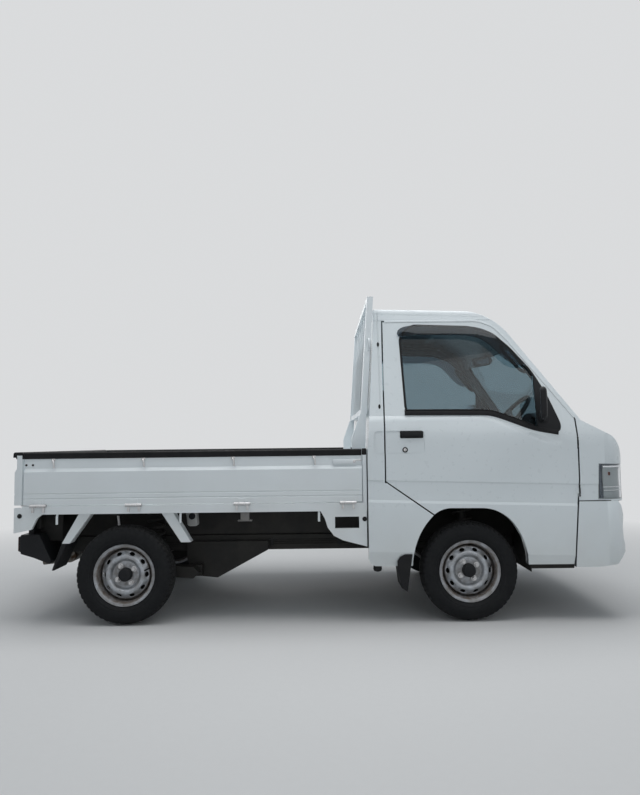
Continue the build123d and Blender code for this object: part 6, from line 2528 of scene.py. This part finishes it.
def consoleForms(look):
    part = look["console"]
    tray = blockForm(part["low"], part["high"], 0.014, 3)
    x, y = look["lever"]
    gaiter = lathedForm([(0.0, 0.062), (0.006, 0.062), (0.012, 0.052), (0.020, 0.055), (0.028, 0.044),
                         (0.038, 0.046), (0.048, 0.034), (0.060, 0.035),
                         (0.074, 0.022), (0.092, 0.018), (0.094, 0.0)], (x, y, part["high"][2]), (0.16, 0, 1),
                         36)
    foot = Vector((x + 0.012, y, part["high"][2] + 0.080))
    tip = foot + Vector((0.035, 0, 0.150))
    stick = tubeForm([foot, foot.lerp(tip, 0.5), tip], 0.0065)
    knob = lathedForm(
        [(0, 0), (0, 0.010), (0.008, 0.017), (0.026, 0.0235), (0.044, 0.0225), (0.054, 0.012), (0.056, 0)],
        tip - Vector((0, 0, 0.006)), (0.2, 0, 1), 32,
    )
    bx, by = look["brakeLever"]
    arm = softened([(bx, by, 0.735), (bx + 0.020, by, 0.775), (bx + 0.260, by, 0.810)], 0.03, 4)
    handle = sweepForm(arm, Vector((0, 0, 1)), boxSection(0.022, 0.016, 0.005, -0.008))
    grip = tubeForm([(bx + 0.140, by, 0.792), (bx + 0.200, by, 0.801), (bx + 0.266, by, 0.811)], 0.016, 18)
    button = lathedForm(
        [(0, 0), (0, 0.007), (0.010, 0.006), (0.010, 0)], (bx + 0.266, by, 0.811), (0.99, 0, 0.14), 14
    )
    shelf = plateForm(
        roundedOutline(0.130, 0.120, 0.018),
        lambda u, v, w: Vector((0.680 + u, 0.020 + v * 0.6, part["high"][2] - 0.001 + w)), 0.010, 0.003, 2,
    )
    return [tray, gaiter, handle, shelf], [stick, button], [knob, grip]


def pedalForms(look):
    metal, pads = [], []
    for name, y in look["pedals"].items():
        tall = 0.120 if name == "throttle" else 0.055
        wide = 0.050 if name == "throttle" else 0.068
        foot = Vector((1.400, y, 0.600 if name != "throttle" else 0.585))
        arm = softened(
            [foot + Vector((0.012, 0, 0)), foot + Vector((0.055, 0, 0.090)), (1.500, y, 0.800)], 0.04, 5
        )
        metal.append(sweepForm(arm, Vector((0, 1, 0)), boxSection(0.016, 0.012, 0.003, -0.006)))
        lean = Vector((-0.80, 0, 0.60))
        up = Vector((0.60, 0, 0.80))
        place = lambda u, v, w: foot + Vector((0, u, 0)) + up * v + lean * w
        pads.append(plateForm(roundedOutline(wide, tall, 0.010), place, 0.012, 0.003, 2))
        for k in range(4):
            v = (k - 1.5) * tall / 4.6
            a, b = place(-wide * 0.38, v, 0.0118), place(wide * 0.38, v, 0.0118)
            pads.append(barForm(a, b, lean, boxSection(0.005, 0.0022, 0.0008)))
    return metal, pads


def floorMats():
    # ribbed mats in the footwell, up the toe board and over the seat base
    forms = []
    for side in (-1, 1):
        y0, y1 = sorted((side * 0.075, side * 0.615))
        forms.append(blockForm((1.175, y0, 0.4953), (1.490, y1, 0.5015), 0.002))
        for k in range(9):
            x = 1.205 + 0.032 * k
            a, b = Vector((x, y0 + 0.030, 0.5010)), Vector((x, y1 - 0.030, 0.5010))
            forms.append(barForm(a, b, Vector((0, 0, 1)), boxSection(0.010, 0.004, 0.0015)))
    forms.append(blockForm((0.330, -0.618, 0.6903), (0.575, 0.618, 0.6965), 0.002))
    forms.append(blockForm((1.020, -0.618, 0.6903), (1.150, 0.618, 0.6965), 0.002))
    forms.append(blockForm((1.1605, -0.610, 0.500), (1.1665, 0.610, 0.692), 0.002))
    return forms


dashForm = {"driver": -0.345}


def dashFittings(look):
    # instrument hood, vents, radio, heater knobs and glove box on the dash's face
    y = look["driver"]
    hood = []
    for t in range(11):
        u = -1 + 2 * t / 10
        hood.append(Vector((1.300, y + 0.150 * u, 1.050 + 0.085 * math.sqrt(max(0.0, 1 - (abs(u) ** 2.6))))))
    shell = sweepForm(hood, Vector((-1, 0, 0)), boxSection(0.012, 0.085, 0.004, -0.045))
    dial = plateForm([(p.y - y, p.z - 1.050) for p in hood] + [(0.145, -0.020), (-0.145, -0.020)],
                     lambda u, v, w: Vector((1.300 + 0.12 * v + w, y + u, 1.050 + v)), 0.006, 0.001)
    forms = [shell, dial]
    black, light = [], []
    for u in (-0.062, 0.062):
        centre = Vector((1.300, y + u, 1.080))
        light.append(
            lathedForm(
                [(-0.001, 0), (-0.001, 0.040), (0.004, 0.040), (0.005, 0.036), (0.0015, 0.034), (0.0015, 0)],
                centre, (-1, 0, 0.1), 40,
            )
        )
    lean = Vector((-0.92, 0, 0.38)).normalized()
    up = Vector((0.38, 0, 0.92)).normalized()
    for middle in (-0.560, -0.085, 0.085, 0.560):
        place = lambda u, v, w: Vector((1.2315, middle, 0.995)) + Vector((0, u, 0)) + up * v + lean * w
        black.append(plateForm(roundedOutline(0.110, 0.058, 0.010), place, 0.010, 0.003, 2))
        for k in range(4):
            a, b = place(-0.045, (k - 1.5) * 0.012, 0.0098), place(0.045, (k - 1.5) * 0.012, 0.0098)
            light.append(barForm(a, b, lean, boxSection(0.003, 0.0035, 0.001)))
    down = Vector((-0.88, 0, -0.48)).normalized()
    rise = Vector((-0.48, 0, 0.88)).normalized()
    place = lambda u, v, w: Vector((1.2575, 0, 0.900)) + Vector((0, u, 0)) + rise * v + down * w
    black.append(
        plateForm(
            roundedOutline(0.190, 0.056, 0.006), lambda u, v, w: place(u, v + 0.028, w), 0.008, 0.002, 2
        )
    )
    for u in (-0.062, 0.0, 0.062):
        knob = place(u, -0.030, 0.0)
        black.append(
            lathedForm([(0, 0), (0, 0.019), (0.012, 0.0165), (0.016, 0.012), (0.016, 0)], knob, down, 28)
        )
        a, b = knob + down * 0.0158 - rise * 0.010, knob + down * 0.0158 + rise * 0.010
        light.append(barForm(a, b, down, boxSection(0.0025, 0.0012, 0.0004)))
    box = lambda u, v, w: Vector((1.2575, 0.350, 0.900)) + Vector((0, u, 0)) + rise * v + down * w
    forms.append(plateForm(roundedOutline(0.360, 0.100, 0.014), box, 0.007, 0.003, 3))
    black.append(
        plateForm(
            roundedOutline(0.060, 0.016, 0.004), lambda u, v, w: box(u, v + 0.034, w + 0.006), 0.006, 0.002, 2
        )
    )
    return forms, black, light


def columnForms():
    # shroud over the column, two stalks and the key barrel
    axis = Vector((-0.7538, 0, 0.6571))
    top = Vector((1.170, dashForm["driver"], 1.070))
    side = Vector((0, 1, 0))
    up = axis.cross(side) * -1
    place = lambda u, v, w: top + side * u + up * v - axis * w
    shroud = plateForm(roundedOutline(0.100, 0.092, 0.026), place, 0.175, 0.012, 3)
    stalks = []
    for sign in (-1, 1):
        foot = top - axis * 0.022 + side * sign * 0.046
        tip = foot + side * sign * 0.135 + axis * 0.022 + up * 0.016
        line = softened([foot, foot + side * sign * 0.040, tip], 0.02, 4)
        stalks.append(sweepForm(line, up, boxSection(0.017, 0.011, 0.004, -0.0055)))
        stalks.append(
            lathedForm(
                [(0, 0), (0, 0.010), (0.026, 0.0115), (0.032, 0.008), (0.032, 0)], tip - side * sign * 0.010,
                side * sign, 20,
            )
        )
    key = lathedForm(
        [(0, 0), (0, 0.020), (0.014, 0.019), (0.017, 0.015), (0.017, 0)],
        top - axis * 0.070 - side * 0.048 - up * 0.010, -side, 26,
    )
    return [shroud, *stalks], [key]


def steeringForms():
    # padded rim, three spokes and the centre pad, square to the column
    centre = Vector((1.135, dashForm["driver"], 1.100))
    axis = Vector((-0.7537727, 0, 0.6571352))
    side = Vector((0, 1, 0))
    up = side.cross(axis)
    if up.z < 0:
        up = -up
    turns = [2 * math.pi * i / 72 for i in range(72)]
    ring = [centre + (side * math.cos(turn) + up * math.sin(turn)) * 0.180 for turn in turns]
    rim = sweepForm(ring, axis, roundSection(0.0135, 16), True)
    spokes = []
    for degrees in (-90, 28, 152):
        out = side * math.cos(math.radians(degrees)) + up * math.sin(math.radians(degrees))
        line = [
            centre - axis * 0.020 + out * 0.035, centre - axis * 0.016 + out * 0.080,
            centre - axis * 0.006 + out * 0.135, centre + out * 0.174,
        ]
        spokes.append(sweepForm(softened(line, 0.02, 4), axis, boxSection(0.040, 0.012, 0.004, -0.006)))
    place = lambda u, v, w: centre + side * u + up * (v - 0.006) - axis * (0.020 - w)
    turns = [2 * math.pi * k / 40 for k in range(40)]
    outline = [
        (0.074 * math.cos(a) * (1 + 0.12 * abs(math.cos(a))), 0.058 * math.sin(a) - 0.008) for a in turns
    ]
    pad = plateForm(outline, place, 0.034, 0.010, 4)
    boss = lathedForm(
        [(-0.120, 0), (-0.120, 0.012), (-0.030, 0.014), (-0.026, 0.036), (-0.012, 0.040), (-0.012, 0)],
        centre, axis, 32,
    )
    return [rim, *spokes, pad, boss]


def overheadForms():
    # two sun visors, the grips on the screen pillars and the roof lamp
    visors, grips = [], []
    for side in (-1, 1):
        middle = Vector((1.020, side * 0.350, 1.630))
        along = Vector((0.88, 0, -0.47)).normalized()
        place = lambda u, v, w: middle + Vector((0, u, 0)) + along * v + Vector((-0.47, 0, -0.88)) * w
        visors.append(plateForm(roundedOutline(0.400, 0.130, 0.035, 6), place, 0.016, 0.006, 3))
        line = softened([
            (1.030, side * 0.6180, 1.520), (1.036, side * 0.6060, 1.495), (1.136, side * 0.6260, 1.372),
            (1.160, side * 0.6400, 1.362),
        ], 0.03, 5)
        out = Vector((-0.7, -side * 0.3, -0.6)).normalized()
        grips.append(sweepForm(line, out, boxSection(0.026, 0.018, 0.006, -0.009)))
    lamp = plateForm(
        roundedOutline(0.120, 0.070, 0.016), lambda u, v, w: Vector((0.800 + u, v, 1.716 - w)),
        0.018, 0.006, 3,
    )
    return visors, grips, lamp


insideMirror = {
    "middle": (1.066, 0.0, 1.502), "turn": 21.0, "tip": 8.0, "width": 0.212, "height": 0.064, "depth": 0.026
}


def insideMirrorForms(look):
    # rounded head turned to the driver, on an arm from the header
    turn, tip = math.radians(look["turn"]), math.radians(look["tip"])
    across = Vector((math.sin(turn), -math.cos(turn), 0))
    back = Vector((math.cos(turn) * math.cos(tip), math.sin(turn) * math.cos(tip), math.sin(tip)))
    up = across.cross(back) * -1
    if up.z < 0:
        up = -up
    place = lambda u, v, w: Vector(look["middle"]) + across * u + up * v + back * w
    steps = [
        (-0.002, 0.003), (0.0, 0.0008), (0.004, 0.0), (0.012, 0.002), (0.019, 0.007), (0.024, 0.014),
        (look["depth"], 0.024),
    ]
    head = domedForm(look, place, steps, 0.026, 0.8)
    arm = tubeForm(
        softened(
            [place(0, 0, 0.020), place(0, 0.004, 0.040), (1.128, 0.0, 1.512), (1.141, 0.0, 1.507)], 0.012, 4
        ),
        0.0075, 16,
    )
    foot = blockForm((1.134, -0.016, 1.494), (1.1425, 0.016, 1.520), 0.003)
    face = plateForm(
        roundedOutline(look["width"] - 0.012, look["height"] - 0.012, 0.021),
        lambda u, v, w: place(u, v, -0.0022 - w), 0.0010, 0.0003,
    )
    return [head, arm, foot], [face]


for side, sign in cabinForm["sides"].items():
    rails, covers = seatRails(sign)
    addPiece(f"seatRails_{side}", rails, chassisBlack, "truck", "dark_steel")
    addPiece(f"seatCovers_{side}", covers, blackPlastic, "truck", "black_plastic")
for side, sign in cabinForm["sides"].items():
    web, fittings = beltForms(sign)
    addPiece(f"seatBelt_{side}", web, beltWeb, "truck", "seat_fabric")
    addPiece(f"beltFittings_{side}", fittings, blackPlastic, "truck", "black_plastic")
consoleShell, leverSteel, leverKnobs = consoleForms(cabinForm)
pedalArms, pedalPads = pedalForms(cabinForm)
dashShell, dashBlack, dashLight = dashFittings(dashForm)
columnShell, keyBarrel = columnForms()
visors, grips, roofLamp = overheadForms()
mirrorHead, mirrorFace = insideMirrorForms(insideMirror)
cabinPieces = {
    "console": (consoleShell, cabinGrey, "grey_plastic"),
    "leverSteel": (leverSteel, zincSteel, "bright_steel"),
    "leverKnobs": (leverKnobs, blackPlastic, "black_plastic"),
    "pedalArms": (pedalArms, chassisBlack, "dark_steel"),
    "pedalPads": (pedalPads, blackRubber, "black_rubber"),
    "floorMats": (floorMats(), floorMat, "black_rubber"),
    "instrumentHood": (dashShell, cabinGrey, "grey_plastic"),
    "dashControls": (dashBlack, blackPlastic, "black_plastic"),
    "dashDials": (dashLight, lampGrey, "grey_plastic"),
    "columnShroud": (columnShell, blackPlastic, "black_plastic"),
    "keyBarrel": (keyBarrel, zincSteel, "bright_steel"),
    "sunVisors": (visors, cabinLight, "grey_plastic"),
    "pillarGrips": (grips, blackPlastic, "black_plastic"),
    "roofLamp": ([roofLamp], lampClear, "lamp_clear"),
    "mirrorFace": (mirrorFace, silveredGlass, "bright_steel"),
}
addAll(cabinPieces)
headPiece = addPiece("insideMirror", mirrorHead, blackPlastic, "truck", "black_plastic")
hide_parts("interior_mirror")
wheelPiece = addPiece("steeringRim", steeringForms(), blackPlastic, "steering_wheel", "black_plastic")
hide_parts("steering_wheel")
print("cabin dressed")
